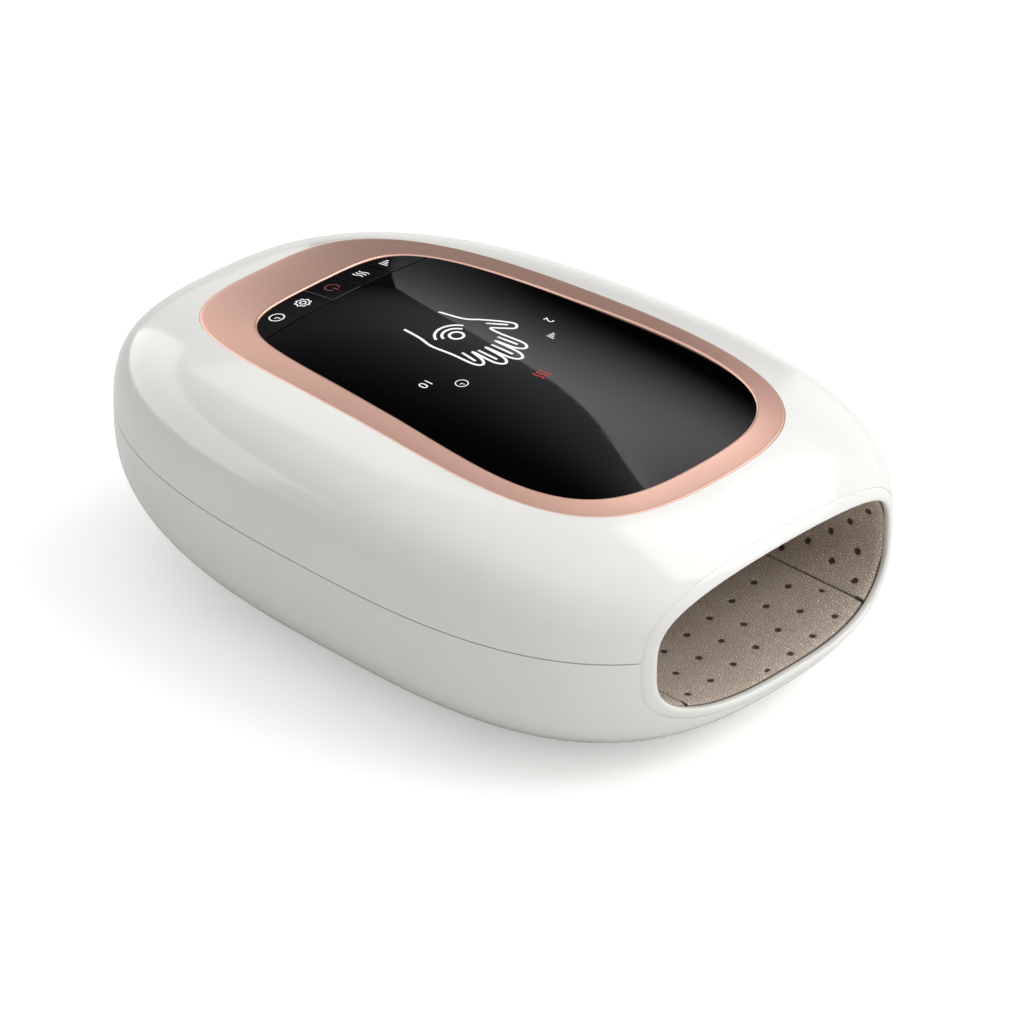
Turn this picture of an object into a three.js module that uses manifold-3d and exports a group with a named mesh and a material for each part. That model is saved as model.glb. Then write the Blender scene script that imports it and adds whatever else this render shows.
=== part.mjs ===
// Hand massager: a pebble-shaped housing with a padded pocket for one hand. Two air bags, filled by a
// small diaphragm pump through two solenoid valves, press the pocket's roof and floor onto the hand.
// Frame: X across, +Z up, the pocket's mouth faces -Y. Origin: centre of the footprint, on the table.
// Lengths are in millimetres. A name that ends in Share is a plain ratio.
import * as THREE from 'three';
import { mergeVertices } from 'three/addons/utils/BufferGeometryUtils.js';
import Module from 'manifold-3d';

const wasm = await Module();
wasm.setup();

// Housing: one pebble, cut by the parting line into an upper and a lower shell
const bodyLength = 250;
const bodyWidth = 166;
const halfLength = bodyLength / 2;
const halfWidth = bodyWidth / 2;
const crownTop = 87;
const rimHeight = 45.9;
const bellyDepth = 49.6;
const footHeight = 2;
const crownFallAcross = 9.3;
const crownFallAlong = 6.4;
const wall = 2.5;
const partingRise = 2.4;
const partingHeight = rimHeight + partingRise;
const partingGap = 0.4;
const planTaperShare = -0.074;
const mouthSquareShare = 0.29;
const rearSquareShare = 0.26;
const crownSquareShare = 0.335;
const bellySquareShare = 0.285;
const crownShoulderShares = { mouth: 0.15, side: 0.63, rear: 0.44 };
const bellyShoulderShares = { mouth: 0.43, side: 0.1, rear: 0 };

// Tongue of the lower shell, which locates the upper one
const tongueHeight = 3;
const tongueSetback = 1.3;
const tongueRoot = 1.2;

// Clearances and overruns shared by all pieces
const fit = 0.3;
const slideFit = 0.25;
const bond = 0.2;
const overrun = 5;

// Mouth: the lip that one sees is a flange, with a skirt behind it that holds the lining's edge
const mouthDrop = 0.6;
const mouthHeight = rimHeight - mouthDrop;
const mouthBorder = 31.3;
const lipWidth = bodyWidth - 2 * mouthBorder;
const lipHeight = 41;
const lipSquareShare = 0.368;
const bezelBandSide = 4.6;
const bezelBandTop = 2.9;
const bezelFlange = 2.6;
const bezelDepth = 12.5;
const bezelSkirtWall = 1.3;
const lipRoll = [[0, 0.2], [0.14, 0.01], [0.45, 0.06], [0.8, 0.42], [1, 1]];
const lipRollDepth = 2;
const lipOuterEdge = 0.2;

// Trim ring round the display, and the seat for it in the upper shell
const ringBorderSide = 29.8;
const ringBorderFront = 34.4;
const ringBorderRear = 30;
const ringWidth = bodyWidth - 2 * ringBorderSide;
const ringLength = bodyLength - ringBorderFront - ringBorderRear;
const ringCentre = (ringBorderFront - ringBorderRear) / 2;
const ringTaperShare = -0.134;
const ringFrontSquareShare = 0.39;
const ringRearSquareShare = 0.492;
const ringThickness = 3.8;
const ringDip = 1.3;
const ringEdge = 0.2;
const ringHollowShare = 0.7;
const ringFaceShares = [-0.03, 0.05, 0.35, 0.7, 0.96];
const seatDepth = 4.1;
const seatThickness = 1.6;
const seatBorder = 3;
const windowBorder = 2.4;

// Display pane, its tray, and the row of five keys across its rear end
const paneBorderSide = 8.6;
const paneBorderFront = 8.8;
const paneBorderRear = 24.4;
const paneWidth = ringWidth - 2 * paneBorderSide;
const paneLength = ringLength - paneBorderFront - paneBorderRear;
const paneCentre = ringCentre + (paneBorderFront - paneBorderRear) / 2;
const paneFrontEnd = paneCentre - paneLength / 2;
const paneRearEnd = paneCentre + paneLength / 2;
const paneTaperShare = -0.17;
const paneFrontSquareShare = 0.405;
const paneRearSquareShare = 0.648;
const paneDip = 1.4;
const paneThickness = 1.4;
const trayDip = 3.0;
const trayThickness = 0.9;
const keyRowDepth = 13;
const keyRowStart = paneRearEnd - keyRowDepth;
const keyPitchShare = 0.1424;
const keyPitch = paneWidth * keyPitchShare;
const keyGap = 0.5;
const keyCapThickness = 1;
const keyTravel = 0.5;
const keyStemWidth = 3;
const keyStemLength = 4;
const keyStemSetback = 8;
const outerKeyStemOffset = 4.95;
const outerKeyStemX = 1.5 * keyPitch + outerKeyStemOffset;

// Circuit boards under the pane and under the keys
const boardThickness = 1.6;
const displayBoardBorder = 11.6;
const displayBoardFrontBorder = 39.8;
const displayBoardRearBorder = 44.6;
const displayBoardClearance = 4;
const displayBoardWidth = paneWidth - 2 * displayBoardBorder;
const displayBoardFront = paneFrontEnd + displayBoardFrontBorder;
const displayBoardRear = paneRearEnd - displayBoardRearBorder;
const lampBlockHeight = 2.6;
const lampBlockShare = 0.18;
const lampFrontShare = 0.25;
const lampRearShare = 0.68;
const lampBlockSize = (displayBoardRear - displayBoardFront) * lampBlockShare;
const keyBoardBorder = 14.6;
const keyBoardWidth = paneWidth - 2 * keyBoardBorder;
const keyBoardDepth = 17;
const keyBoardClearance = 4.8;
const switchSize = 6;
const switchHeight = 3.4;
const switchButtonRadius = 1.7;
const switchButtonHeight = 0.9;
const trayPostRadius = 2;

// Hand pocket: a tapering tunnel with padded walls inside two half frames
const rearCompartment = 79;
const pocketRear = halfLength - rearCompartment;
const pocketRearBorder = 37;
const pocketRearWidth = bodyWidth - 2 * pocketRearBorder;
const pocketRearHeight = 31;
const pocketRearDrop = 1.3;
const pocketRearAxis = mouthHeight - pocketRearDrop;
const padThickness = 3.5;
const heaterThickness = 0.4;
const bagThickness = 1.8;
const frameWall = 1.2;
const panelSeamBorder = 12.3;
const panelSeam = lipWidth / 2 - panelSeamBorder;
const panelGap = 0.6;
const bagBorder = 6.4;
const bagWidth = 2 * (panelSeam - bagBorder);
const bagFrontSetback = 39;
const bagRearSetback = 6;
const bagFront = -halfLength + bagFrontSetback;
const bagRear = pocketRear - bagRearSetback;
const bagSquareShare = 0.5;
const nippleRadius = 2;
const nippleHeight = 5;
const nippleBore = 1;
const nippleBorder = 11;
const nippleX = bagWidth / 2 - nippleBorder;
const nippleInset = 8;
const framePostRadius = 4;
const framePostBorder = 15.4;
const framePostX = panelSeam - framePostBorder;
const framePostFrontSetback = 63;
const framePostRearSetback = 34;
const framePostRows = [-halfLength + framePostFrontSetback, pocketRear - framePostRearSetback];

// Case screws and their posts
const postBorder = 21;
const postSetback = 73;
const postX = halfWidth - postBorder;
const postFrontRow = -halfLength + postSetback;
const postRearRow = halfLength - postSetback;
const postRadius = 4.6;
const screwShankRadius = 1.5;
const screwShankLength = 16;
const screwHeadRadius = 2.9;
const screwHeadHeight = 2.2;
const screwHeadDrop = 6.3;
const screwHeadGround = partingHeight - screwHeadDrop;
const screwFit = 0.15;

// Rubber feet
const footRadius = 6.5;
const footFrontBorder = 51;
const footFrontSetback = 61;
const footRearBorder = 55;
const footRearSetback = 75;
const footFrontX = halfWidth - footFrontBorder;
const footFrontRow = -halfLength + footFrontSetback;
const footRearX = halfWidth - footRearBorder;
const footRearRow = halfLength - footRearSetback;
const footSocket = 1;

// Battery: two round cells side by side in cradle ribs of the lower shell
const cellRadius = 9.1;
const cellLength = 65;
const cellLift = 25;
const cellHeight = footHeight + cellLift;
const cellSetback = 13.4;
const cellFrontRow = pocketRear + cellSetback + cellRadius;
const cellCapRadius = 3;
const cellCapHeight = 1;
const cradleX = 22;
const cradleThickness = 2;
const cradleRise = 2;

// Pump tray over the cells, with a saddle for the motor
const trayClearance = 0.5;
const trayFloorHeight = cellHeight + cellRadius + trayClearance;
const pumpTrayThickness = 1.6;
const trayLegRadius = 3.5;
const trayLegGap = 10.5;
const trayLegX = cellLength / 2 + trayLegGap;
const trayLegFrontRow = cellFrontRow - cellRadius / 2;
const trayLegRearRow = cellFrontRow + 2.35 * cellRadius;
const trayBorderLeft = 9;
const trayBorderRight = 15;
const trayBorderFront = 3.5;
const trayBorderRear = 10;
const pumpTrayLeft = -trayLegX - trayBorderLeft;
const pumpTrayRight = trayLegX + trayBorderRight;
const pumpTrayFront = trayLegFrontRow - trayBorderFront;
const pumpTrayRear = trayLegRearRow + trayBorderRear;
const saddleThickness = 5;

// Pump: motor can, rotor with its crank, diaphragm head
const pumpSetback = 6.5;
const pumpRow = cellFrontRow + pumpSetback;
const motorRadius = 12;
const motorLength = 31;
const motorWall = 1;
const motorRearX = -48;
const armatureRadius = 9.5;
const armatureLength = 16;
const shaftRadius = 1;
const shaftFit = 0.08;
const bushRadius = 3;
const bushLength = 3;
const headSize = 27;
const headLength = 27;
const headWall = 2.5;
const headCavityRadius = 9;
const crankRadius = 4;
const crankOffset = 1.5;
const crankLength = 6;
const diaphragmThickness = 2;
const sleeveWall = 1.5;
const sleeveLength = 14;
const sleeveSetback = 6;
const outletRadius = 2;
const outletLength = 4;

// Valves on their manifold
const manifoldLeft = 21;
const manifoldWidth = 30;
const manifoldDepth = 16;
const manifoldHeight = 7;
const valveWidth = 12;
const valveHeight = 15;
const valveBoreRadius = 2.6;
const valveWall = 2;
const plungerLength = 9;
const plungerTravel = 1.5;

// Air hoses of soft silicone
const hoseBore = 2.7;
const hoseWall = 0.8;
const hoseBend = 6;
const hoseSetback = 8.5;
const hoseRow = pocketRear + hoseSetback;
const upperHoseClearance = 4.5;
const upperHoseRise = 9;
const lowerHoseClearance = 1.6;

// Ribbon cables: display board to key board, key board to main board
const ribbonWidth = 14;
const ribbonThickness = 0.4;
const ribbonLift = 1.2;
const ribbonSlack = 10;

// Wires and cell strips
const wireRadius = 0.7;
const wireBend = 3;
const motorLeadSpacing = 4;
const motorLeadReach = 5;
const motorLeadBorder = 36;
const cellLeadReach = 4;
const cellLeadRise = 4;
const leadTurnSetback = 8;
const stripThickness = 0.3;
const stripWidth = 6;

// Main board and charging socket at the rear
const mainBoardSetback = 14.5;
const mainBoardRow = halfLength - mainBoardSetback;
const mainBoardWidth = 52;
const mainBoardDrop = 1;
const mainBoardHeight = 34;
const mainBoardBottom = cellHeight - mainBoardDrop;
const mainBoardTop = mainBoardBottom + mainBoardHeight;
const portWidth = 9.2;
const portHeight = 3.6;
const portLength = 7.6;
const portWall = 0.4;
const portRise = 8;
const portAxisHeight = mainBoardBottom + portRise;
const portTongueWidth = 6.6;
const portTongueThickness = 0.7;
const portHoleMargin = 0.7;

// Facets
const aroundBody = 40;
const aroundOutline = 32;
const aroundPocket = 28;
const aroundHose = 6;
const sidesSmall = 8;
const sidesMiddle = 12;
const sidesLarge = 20;
const aroundWire = 6;
const bendShares = [0, 0.35, 0.65, 1];
const ringShares = [0.47, 0.71, 0.86, 0.95, 0.992];

// Colours
const gloss = (color) => new THREE.MeshStandardMaterial({ color, roughness: 0.15, metalness: 0 });
const matt = (color) => new THREE.MeshStandardMaterial({ color, roughness: 0.7, metalness: 0 });
const metal = (color) => new THREE.MeshStandardMaterial({ color, roughness: 0.35, metalness: 1 });

const whiteShell = gloss(0xf2f1ee);
const roseTrim = metal(0xdca995);
const blackPane = gloss(0x0b0b0c);
const blackPlastic = matt(0x1b1b1c);
const greyPlastic = matt(0x8d9094);
const beigeLeather = matt(0xbba895);
const bagFilm = matt(0x5b6470);
const boardGreen = matt(0x1f5a3a);
const rubber = matt(0x2a2a2c);
const silicone = matt(0xd9dcdc);
const steel = metal(0xb9bcc0);
const brass = metal(0xc9a35a);
const copper = metal(0xb0713f);
const cellBlue = matt(0x2f6fae);
const heaterAmber = matt(0xb87a2c);

// Exponent of a superellipse: a share of 0 is an ellipse, 1 a rectangle
function power(squareShare) {
  return 2 / (1 - squareShare);
}

function signedPower(value, exponent) {
  return Math.sign(value) * Math.abs(value) ** exponent;
}

function blend(a, b, share) {
  return a + (b - a) * share;
}

// How far a point lies from the housing's axis towards its widest line: 0 on the axis, 1 on the line
function planShare(x, y, inset) {
  const exponent = power(y < 0 ? mouthSquareShare : rearSquareShare);
  const across = Math.abs(x) / (halfWidth * (1 + (planTaperShare * y) / halfLength) - inset);
  const along = Math.abs(y) / (halfLength - inset);
  return (across ** exponent + along ** exponent) ** (1 / exponent);
}

// The shoulder's exponent turns smoothly from the mouth or the rear to the sides
function shoulderPower(x, y, shares) {
  const across = (x / halfWidth) ** 2;
  const along = (y / halfLength) ** 2;
  const sideways = across + along > 0 ? across / (across + along) : 0;
  const end = power(y < 0 ? shares.mouth : shares.rear);
  return blend(end, power(shares.side), sideways);
}

function crownHeight(x, y, inset) {
  const share = Math.min(1, planShare(x, y, inset));
  const shoulder = shoulderPower(x, y, crownShoulderShares);
  const dome = (crownTop - rimHeight - inset) * (1 - share ** shoulder) ** (1 / power(crownSquareShare));
  const fall = crownFallAcross * (x / halfWidth) ** 2 + crownFallAlong * (y / halfLength) ** 2;
  return rimHeight + dome - fall * (1 - share ** 4);
}

function bellyHeight(x, y, inset) {
  const share = Math.min(1, planShare(x, y, inset));
  const shoulder = shoulderPower(x, y, bellyShoulderShares);
  const depth = (bellyDepth - inset) * (1 - share ** shoulder) ** (1 / power(bellySquareShare));
  return Math.max(footHeight + inset, rimHeight - depth);
}

// Point of the housing's widest line at an angle
function rimPoint(angle, inset) {
  const exponent = 2 / power(Math.sin(angle) < 0 ? mouthSquareShare : rearSquareShare);
  const y = (halfLength - inset) * signedPower(Math.sin(angle), exponent);
  const reach = halfWidth * (1 + (planTaperShare * y) / halfLength) - inset;
  return new THREE.Vector2(reach * signedPower(Math.cos(angle), exponent), y);
}

// Closed mesh from rings of points, each ring with the same count, between two poles
function latticeGeometry(rings, firstPole, lastPole) {
  const around = rings[0].length;
  const positions = [...firstPole, ...rings.flat(2), ...lastPole];
  const last = 1 + rings.length * around;
  const indices = [];
  for (let i = 0; i < around; i += 1) {
    const next = (i + 1) % around;
    indices.push(0, 1 + i, 1 + next);
    for (let r = 0; r < rings.length - 1; r += 1) {
      const upper = 1 + r * around;
      const lower = upper + around;
      indices.push(upper + i, lower + i, lower + next, upper + i, lower + next, upper + next);
    }
    indices.push(last, last - around + next, last - around + i);
  }
  const geometry = new THREE.BufferGeometry();
  geometry.setAttribute('position', new THREE.Float32BufferAttribute(positions, 3));
  geometry.setIndex(indices);
  return geometry;
}

// Closed mesh from sections that run once round and join up with the first
function hoopGeometry(sections) {
  const count = sections[0].length;
  const indices = [];
  sections.forEach((section, s) => {
    const here = s * count;
    const there = ((s + 1) % sections.length) * count;
    for (let i = 0; i < count; i += 1) {
      const next = (i + 1) % count;
      indices.push(here + i, there + i, there + next, here + i, there + next, here + next);
    }
  });
  const geometry = new THREE.BufferGeometry();
  geometry.setAttribute('position', new THREE.Float32BufferAttribute(sections.flat(2), 3));
  geometry.setIndex(indices);
  return geometry;
}

// three.js geometry to a solid for joining and cutting, and back
function solid(geometry) {
  geometry.deleteAttribute('normal');
  geometry.deleteAttribute('uv');
  const merged = mergeVertices(geometry);
  return new wasm.Manifold(new wasm.Mesh({
    numProp: 3,
    vertProperties: new Float32Array(merged.attributes.position.array),
    triVerts: new Uint32Array(merged.index.array),
  }));
}

function geometryOf(body) {
  const mesh = body.getMesh();
  const geometry = new THREE.BufferGeometry();
  geometry.setAttribute('position', new THREE.BufferAttribute(mesh.vertProperties, 3));
  geometry.setIndex(new THREE.BufferAttribute(mesh.triVerts, 1));
  return geometry;
}

// Angles round the rim, starting at the mouth: half by even angle, half by even length along the rim
function rimAngles() {
  const steps = 60 * aroundBody;
  const angleAt = (step) => (step / steps) * 2 * Math.PI - Math.PI / 2;
  const lengths = [0];
  for (let i = 1; i <= steps; i += 1) {
    lengths.push(lengths[i - 1] + rimPoint(angleAt(i), 0).distanceTo(rimPoint(angleAt(i - 1), 0)));
  }
  const progress = lengths.map((length, i) => (length / lengths[steps] + i / steps) / 2);
  return Array.from({ length: aroundBody }, (_, k) => angleAt(progress.findIndex((value) => value >= k / aroundBody)));
}

// The whole housing's outer form, drawn in by an inset
const pebbles = new Map();
function pebble(inset) {
  if (!pebbles.has(inset)) {
    const angles = rimAngles();
    const ring = (share, height) => angles.map((angle) => {
      const point = rimPoint(angle, inset).multiplyScalar(share);
      return [point.x, point.y, height(point.x, point.y, inset)];
    });
    const rings = ringShares.map((share) => ring(share, crownHeight));
    rings.push(ring(1, () => rimHeight));
    rings.push(...[...ringShares].reverse().map((share) => ring(share, bellyHeight)));
    const top = [0, 0, crownHeight(0, 0, inset)];
    const bottom = [0, 0, bellyHeight(0, 0, inset)];
    pebbles.set(inset, solid(latticeGeometry(rings, top, bottom)));
  }
  return pebbles.get(inset);
}

function block(x0, x1, y0, y1, z0, z1) {
  const geometry = new THREE.BoxGeometry(x1 - x0, y1 - y0, z1 - z0);
  geometry.translate((x0 + x1) / 2, (y0 + y1) / 2, (z0 + z1) / 2);
  return geometry;
}

// Everything between two heights
function slab(z0, z1) {
  return solid(block(-bodyWidth, bodyWidth, -bodyLength, bodyLength, z0, z1));
}

// Upright, lengthwise and crosswise rods
function uprightRod(radius, x, y, z0, z1, sides) {
  const geometry = new THREE.CylinderGeometry(radius, radius, z1 - z0, sides);
  geometry.rotateX(Math.PI / 2);
  geometry.translate(x, y, (z0 + z1) / 2);
  return geometry;
}

function crossRod(radius, x0, x1, y, z, sides) {
  const geometry = new THREE.CylinderGeometry(radius, radius, x1 - x0, sides);
  geometry.rotateZ(Math.PI / 2);
  geometry.translate((x0 + x1) / 2, y, z);
  return geometry;
}

// A turned piece whose axis runs along X: profile points are (radius, x), from +X back to -X
function crossLathe(points, y, z, sides) {
  const profile = [...points].reverse().map(([r, x]) => new THREE.Vector2(r, x));
  const geometry = new THREE.LatheGeometry(profile, sides);
  geometry.rotateZ(-Math.PI / 2);
  geometry.translate(0, y, z);
  return geometry;
}

// Superellipse outlines, seen from above, with their own fullness and taper
function planOutline(spec, grow) {
  return Array.from({ length: aroundOutline }, (_, i) => {
    const angle = (i / aroundOutline) * 2 * Math.PI;
    const exponent = 2 / power(Math.sin(angle) < 0 ? spec.frontShare : spec.rearShare);
    const along = signedPower(Math.sin(angle), exponent);
    const reach = (spec.width / 2) * (1 + spec.taperShare * along) + grow;
    return new THREE.Vector2(
      reach * signedPower(Math.cos(angle), exponent),
      spec.centre + (spec.length / 2 + grow) * along,
    );
  });
}

const ringPlan = {
  width: ringWidth,
  length: ringLength,
  centre: ringCentre,
  taperShare: ringTaperShare,
  frontShare: ringFrontSquareShare,
  rearShare: ringRearSquareShare,
};
const panePlan = {
  width: paneWidth,
  length: paneLength,
  centre: paneCentre,
  taperShare: paneTaperShare,
  frontShare: paneFrontSquareShare,
  rearShare: paneRearSquareShare,
};
const bagPlan = {
  width: bagWidth,
  length: bagRear - bagFront,
  centre: (bagRear + bagFront) / 2,
  taperShare: 0,
  frontShare: bagSquareShare,
  rearShare: bagSquareShare,
};

function planPrism(points, z0, z1) {
  const geometry = new THREE.ExtrudeGeometry(new THREE.Shape(points), { depth: z1 - z0, bevelEnabled: false });
  geometry.translate(0, 0, z0);
  return solid(geometry);
}

const underTable = -overrun;
const overTop = crownTop + overrun;

// What lies between two insets of the pebble's crown, within a plan outline
function crownLayer(points, outer, inner) {
  return planPrism(points, rimHeight, overTop).intersect(pebble(outer)).subtract(pebble(inner));
}

// Superellipse outline of the mouth, seen from the front, pushed along Y
function mouthPrism(width, height, y0, y1) {
  const points = Array.from({ length: aroundOutline }, (_, i) => mouthPoint((i / aroundOutline) * 2 * Math.PI, width, height));
  const geometry = new THREE.ExtrudeGeometry(new THREE.Shape(points), { depth: y1 - y0, bevelEnabled: false });
  geometry.rotateX(Math.PI / 2);
  geometry.translate(0, y1, 0);
  return solid(geometry);
}

// The pocket's form, grown outwards by a wall, between two places along Y
function pocketForm(grow, front, rear) {
  const exponent = 2 / power(lipSquareShare);
  const ringAt = (y) => {
    const share = (y + halfLength) / (pocketRear + halfLength);
    const reach = blend(lipWidth, pocketRearWidth, share) / 2 + grow;
    const rise = blend(lipHeight, pocketRearHeight, share) / 2 + grow;
    const axis = blend(mouthHeight, pocketRearAxis, share);
    return Array.from({ length: aroundPocket }, (_, i) => {
      const angle = (i / aroundPocket) * 2 * Math.PI;
      return [
        reach * signedPower(Math.cos(angle), exponent),
        y,
        axis + rise * signedPower(Math.sin(angle), exponent),
      ];
    });
  };
  const axisAt = (y) => blend(mouthHeight, pocketRearAxis, (y + halfLength) / (pocketRear + halfLength));
  return solid(latticeGeometry([ringAt(front), ringAt(rear)], [0, front, axisAt(front)], [0, rear, axisAt(rear)]));
}

// Upper edge of the pocket's lining on the mirror plane
function pocketRoof(y) {
  const share = (y + halfLength) / (pocketRear + halfLength);
  return blend(mouthHeight, pocketRearAxis, share) + blend(lipHeight, pocketRearHeight, share) / 2;
}

function pocketFloor(y) {
  const share = (y + halfLength) / (pocketRear + halfLength);
  return blend(mouthHeight, pocketRearAxis, share) - blend(lipHeight, pocketRearHeight, share) / 2;
}

const massager = new THREE.Group();

function place(name, material, shape, parent) {
  const geometry = shape instanceof THREE.BufferGeometry ? shape : geometryOf(shape);
  const mesh = new THREE.Mesh(geometry, material);
  mesh.name = name;
  (parent ?? massager).add(mesh);
  return mesh;
}

// Places that several pieces share
const frontEnd = -halfLength - overrun;
const bezelWidth = lipWidth + 2 * bezelBandSide;
const bezelHeight = lipHeight + 2 * bezelBandTop;
const tongueTop = partingHeight + tongueHeight;
const cellRearRow = cellFrontRow + 2 * cellRadius + 2 * fit;
const bagInner = padThickness + heaterThickness + 2 * fit;
const bagOuter = bagInner + bagThickness;
const frameInner = bagOuter + fit;
const frameOuter = frameInner + frameWall;
const seatBottom = seatDepth + seatThickness;
const trayTop = trayFloorHeight + pumpTrayThickness;
const pumpAxisHeight = trayTop + bond + headSize / 2;
const manifoldFloor = trayTop + bond;
const manifoldTop = manifoldFloor + manifoldHeight;
const manifoldZ = manifoldFloor + manifoldHeight / 2;
const valveFloor = manifoldTop + bond;
const valveTop = valveFloor + valveHeight;
const valveXs = [manifoldLeft + manifoldWidth / 4, manifoldLeft + (3 * manifoldWidth) / 4];
const keyRow = paneRearEnd - keyStemSetback;
const trayUnderside = (x, y) => crownHeight(x, y, trayDip + trayThickness);
const keyBoardHeight = trayUnderside(outerKeyStemX, keyRow) - keyBoardClearance - switchHeight - switchButtonHeight - boardThickness;
const displayBoardHeight = trayUnderside(displayBoardWidth / 2, displayBoardFront)
  - displayBoardClearance - lampBlockHeight - boardThickness;
const postPlaces = [
  [-postX, postFrontRow],
  [postX, postFrontRow],
  [-postX, postRearRow],
  [postX, postRearRow],
];
const footPlaces = [
  [-footFrontX, footFrontRow],
  [footFrontX, footFrontRow],
  [-footRearX, footRearRow],
  [footRearX, footRearRow],
];
const trayLegPlaces = [
  [-trayLegX, trayLegFrontRow],
  [trayLegX, trayLegFrontRow],
  [-trayLegX, trayLegRearRow],
  [trayLegX, trayLegRearRow],
];
const framePostPlaces = framePostRows.flatMap((y) => [[-framePostX, y], [framePostX, y]]);

const mouthHole = mouthPrism(bezelWidth + 2 * fit, bezelHeight + 2 * fit, frontEnd, -halfLength / 2);
const shellWall = pebble(0).subtract(pebble(wall));
const insideWall = pebble(wall + fit);

// Everything behind the bezel's rear edge, where the pocket's own pieces begin
function behindMouth(setback) {
  const points = Array.from({ length: aroundBody }, (_, i) => rimPoint((i / aroundBody) * 2 * Math.PI, setback));
  return planPrism(points, underTable, overTop);
}

// Upper shell, with the trim ring's seat and four screw bosses
function upperShell() {
  let shell = shellWall.intersect(slab(partingHeight + partingGap / 2, overTop));
  shell = shell.add(crownLayer(planOutline(ringPlan, seatBorder), wall - bond, seatBottom));
  const aboveSeat = planPrism(planOutline(ringPlan, fit), rimHeight, overTop).subtract(pebble(seatDepth));
  shell = shell.subtract(aboveSeat);
  shell = shell.subtract(planPrism(planOutline(panePlan, -windowBorder), rimHeight, overTop));
  for (const [x, y] of postPlaces) {
    const boss = solid(uprightRod(postRadius, x, y, partingHeight, overTop, sidesMiddle)).intersect(pebble(wall / 2));
    shell = shell.add(boss);
  }
  const rebate = slab(partingHeight, tongueTop + fit).intersect(pebble(tongueSetback - fit));
  shell = shell.subtract(rebate);
  for (const [x, y] of postPlaces) {
    const pilotTop = screwHeadGround + screwHeadHeight + screwShankLength + screwHeadHeight;
    shell = shell.subtract(solid(uprightRod(screwShankRadius + screwFit, x, y, partingHeight, pilotTop, sidesSmall)));
  }
  return shell.subtract(mouthHole);
}

// Lower shell, with the tongue, screw posts, frame posts, cell cradles and the charging hole
function lowerShell() {
  let shell = shellWall.intersect(slab(underTable, partingHeight - partingGap / 2));
  const tongue = slab(partingHeight - tongueRoot, tongueTop).intersect(pebble(tongueSetback));
  shell = shell.add(tongue.subtract(pebble(wall)));
  const inside = pebble(wall / 2);
  for (const [x, y] of postPlaces) {
    shell = shell.add(solid(uprightRod(postRadius, x, y, underTable, tongueTop, sidesMiddle)).intersect(inside));
  }
  for (const [x, y] of trayLegPlaces) {
    const legTop = trayFloorHeight - bond;
    shell = shell.add(solid(uprightRod(trayLegRadius, x, y, underTable, legTop, sidesSmall)).intersect(inside));
  }
  const underFrame = pocketForm(frameOuter + fit, frontEnd, pocketRear + frameWall + fit);
  for (const [x, y] of framePostPlaces) {
    const post = solid(uprightRod(framePostRadius, x, y, underTable, mouthHeight, sidesSmall)).intersect(inside);
    shell = shell.add(post.subtract(underFrame));
  }
  const cells = [cellFrontRow, cellRearRow].map((y) => (
    solid(crossRod(cellRadius + fit, -halfWidth, halfWidth, y, cellHeight, sidesLarge))
  ));
  for (const x of [-cradleX, cradleX]) {
    const rib = solid(block(
      x - cradleThickness / 2,
      x + cradleThickness / 2,
      cellFrontRow - cellRadius,
      cellRearRow + cellRadius,
      underTable,
      cellHeight - cellRadius / 2 + cradleRise,
    ));
    shell = shell.add(rib.intersect(inside).subtract(cells[0]).subtract(cells[1]));
    const boardRib = solid(block(
      x - cradleThickness,
      x + cradleThickness,
      mainBoardRow - overrun,
      halfLength,
      underTable,
      mainBoardBottom - bond,
    ));
    shell = shell.add(boardRib.intersect(inside));
  }
  for (const [x, y] of postPlaces) {
    const shankRadius = screwShankRadius + screwFit;
    shell = shell.subtract(solid(uprightRod(shankRadius, x, y, screwHeadGround - overrun, overTop, sidesSmall)));
    const bore = uprightRod(screwHeadRadius + fit, x, y, underTable, screwHeadGround + screwHeadHeight, sidesMiddle);
    shell = shell.subtract(solid(bore));
  }
  for (const [x, y] of footPlaces) {
    const socket = uprightRod(footRadius + slideFit, x, y, underTable, footHeight + footSocket, sidesMiddle);
    shell = shell.subtract(solid(socket));
  }
  const portHole = block(
    -portWidth / 2 - portHoleMargin,
    portWidth / 2 + portHoleMargin,
    mainBoardRow + boardThickness,
    halfLength + overrun,
    portAxisHeight - portHeight / 2 - portHoleMargin,
    portAxisHeight + portHeight / 2 + portHoleMargin,
  );
  return shell.subtract(solid(portHole)).subtract(mouthHole);
}

// The housing's front at a place across and up
function frontRow(x, z) {
  let outside = -halfLength;
  let inside = 0;
  while (inside - outside > bond / 100) {
    const middle = (outside + inside) / 2;
    const within = planShare(x, middle, 0) < 1 && z < crownHeight(x, middle, 0) && z > bellyHeight(x, middle, 0);
    if (within) inside = middle;
    else outside = middle;
  }
  return inside;
}

// Rear edge of the bezel's skirt: a line parallel to the rim
function skirtRow(x) {
  const exponent = power(mouthSquareShare);
  const reach = halfWidth * (1 - planTaperShare) - bezelDepth;
  return (bezelDepth - halfLength) * (1 - Math.min(1, Math.abs(x) / reach) ** exponent) ** (1 / exponent);
}

function mouthPoint(angle, width, height) {
  const exponent = 2 / power(lipSquareShare);
  return new THREE.Vector2(
    (width / 2) * signedPower(Math.cos(angle), exponent),
    mouthHeight + (height / 2) * signedPower(Math.sin(angle), exponent),
  );
}

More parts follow.
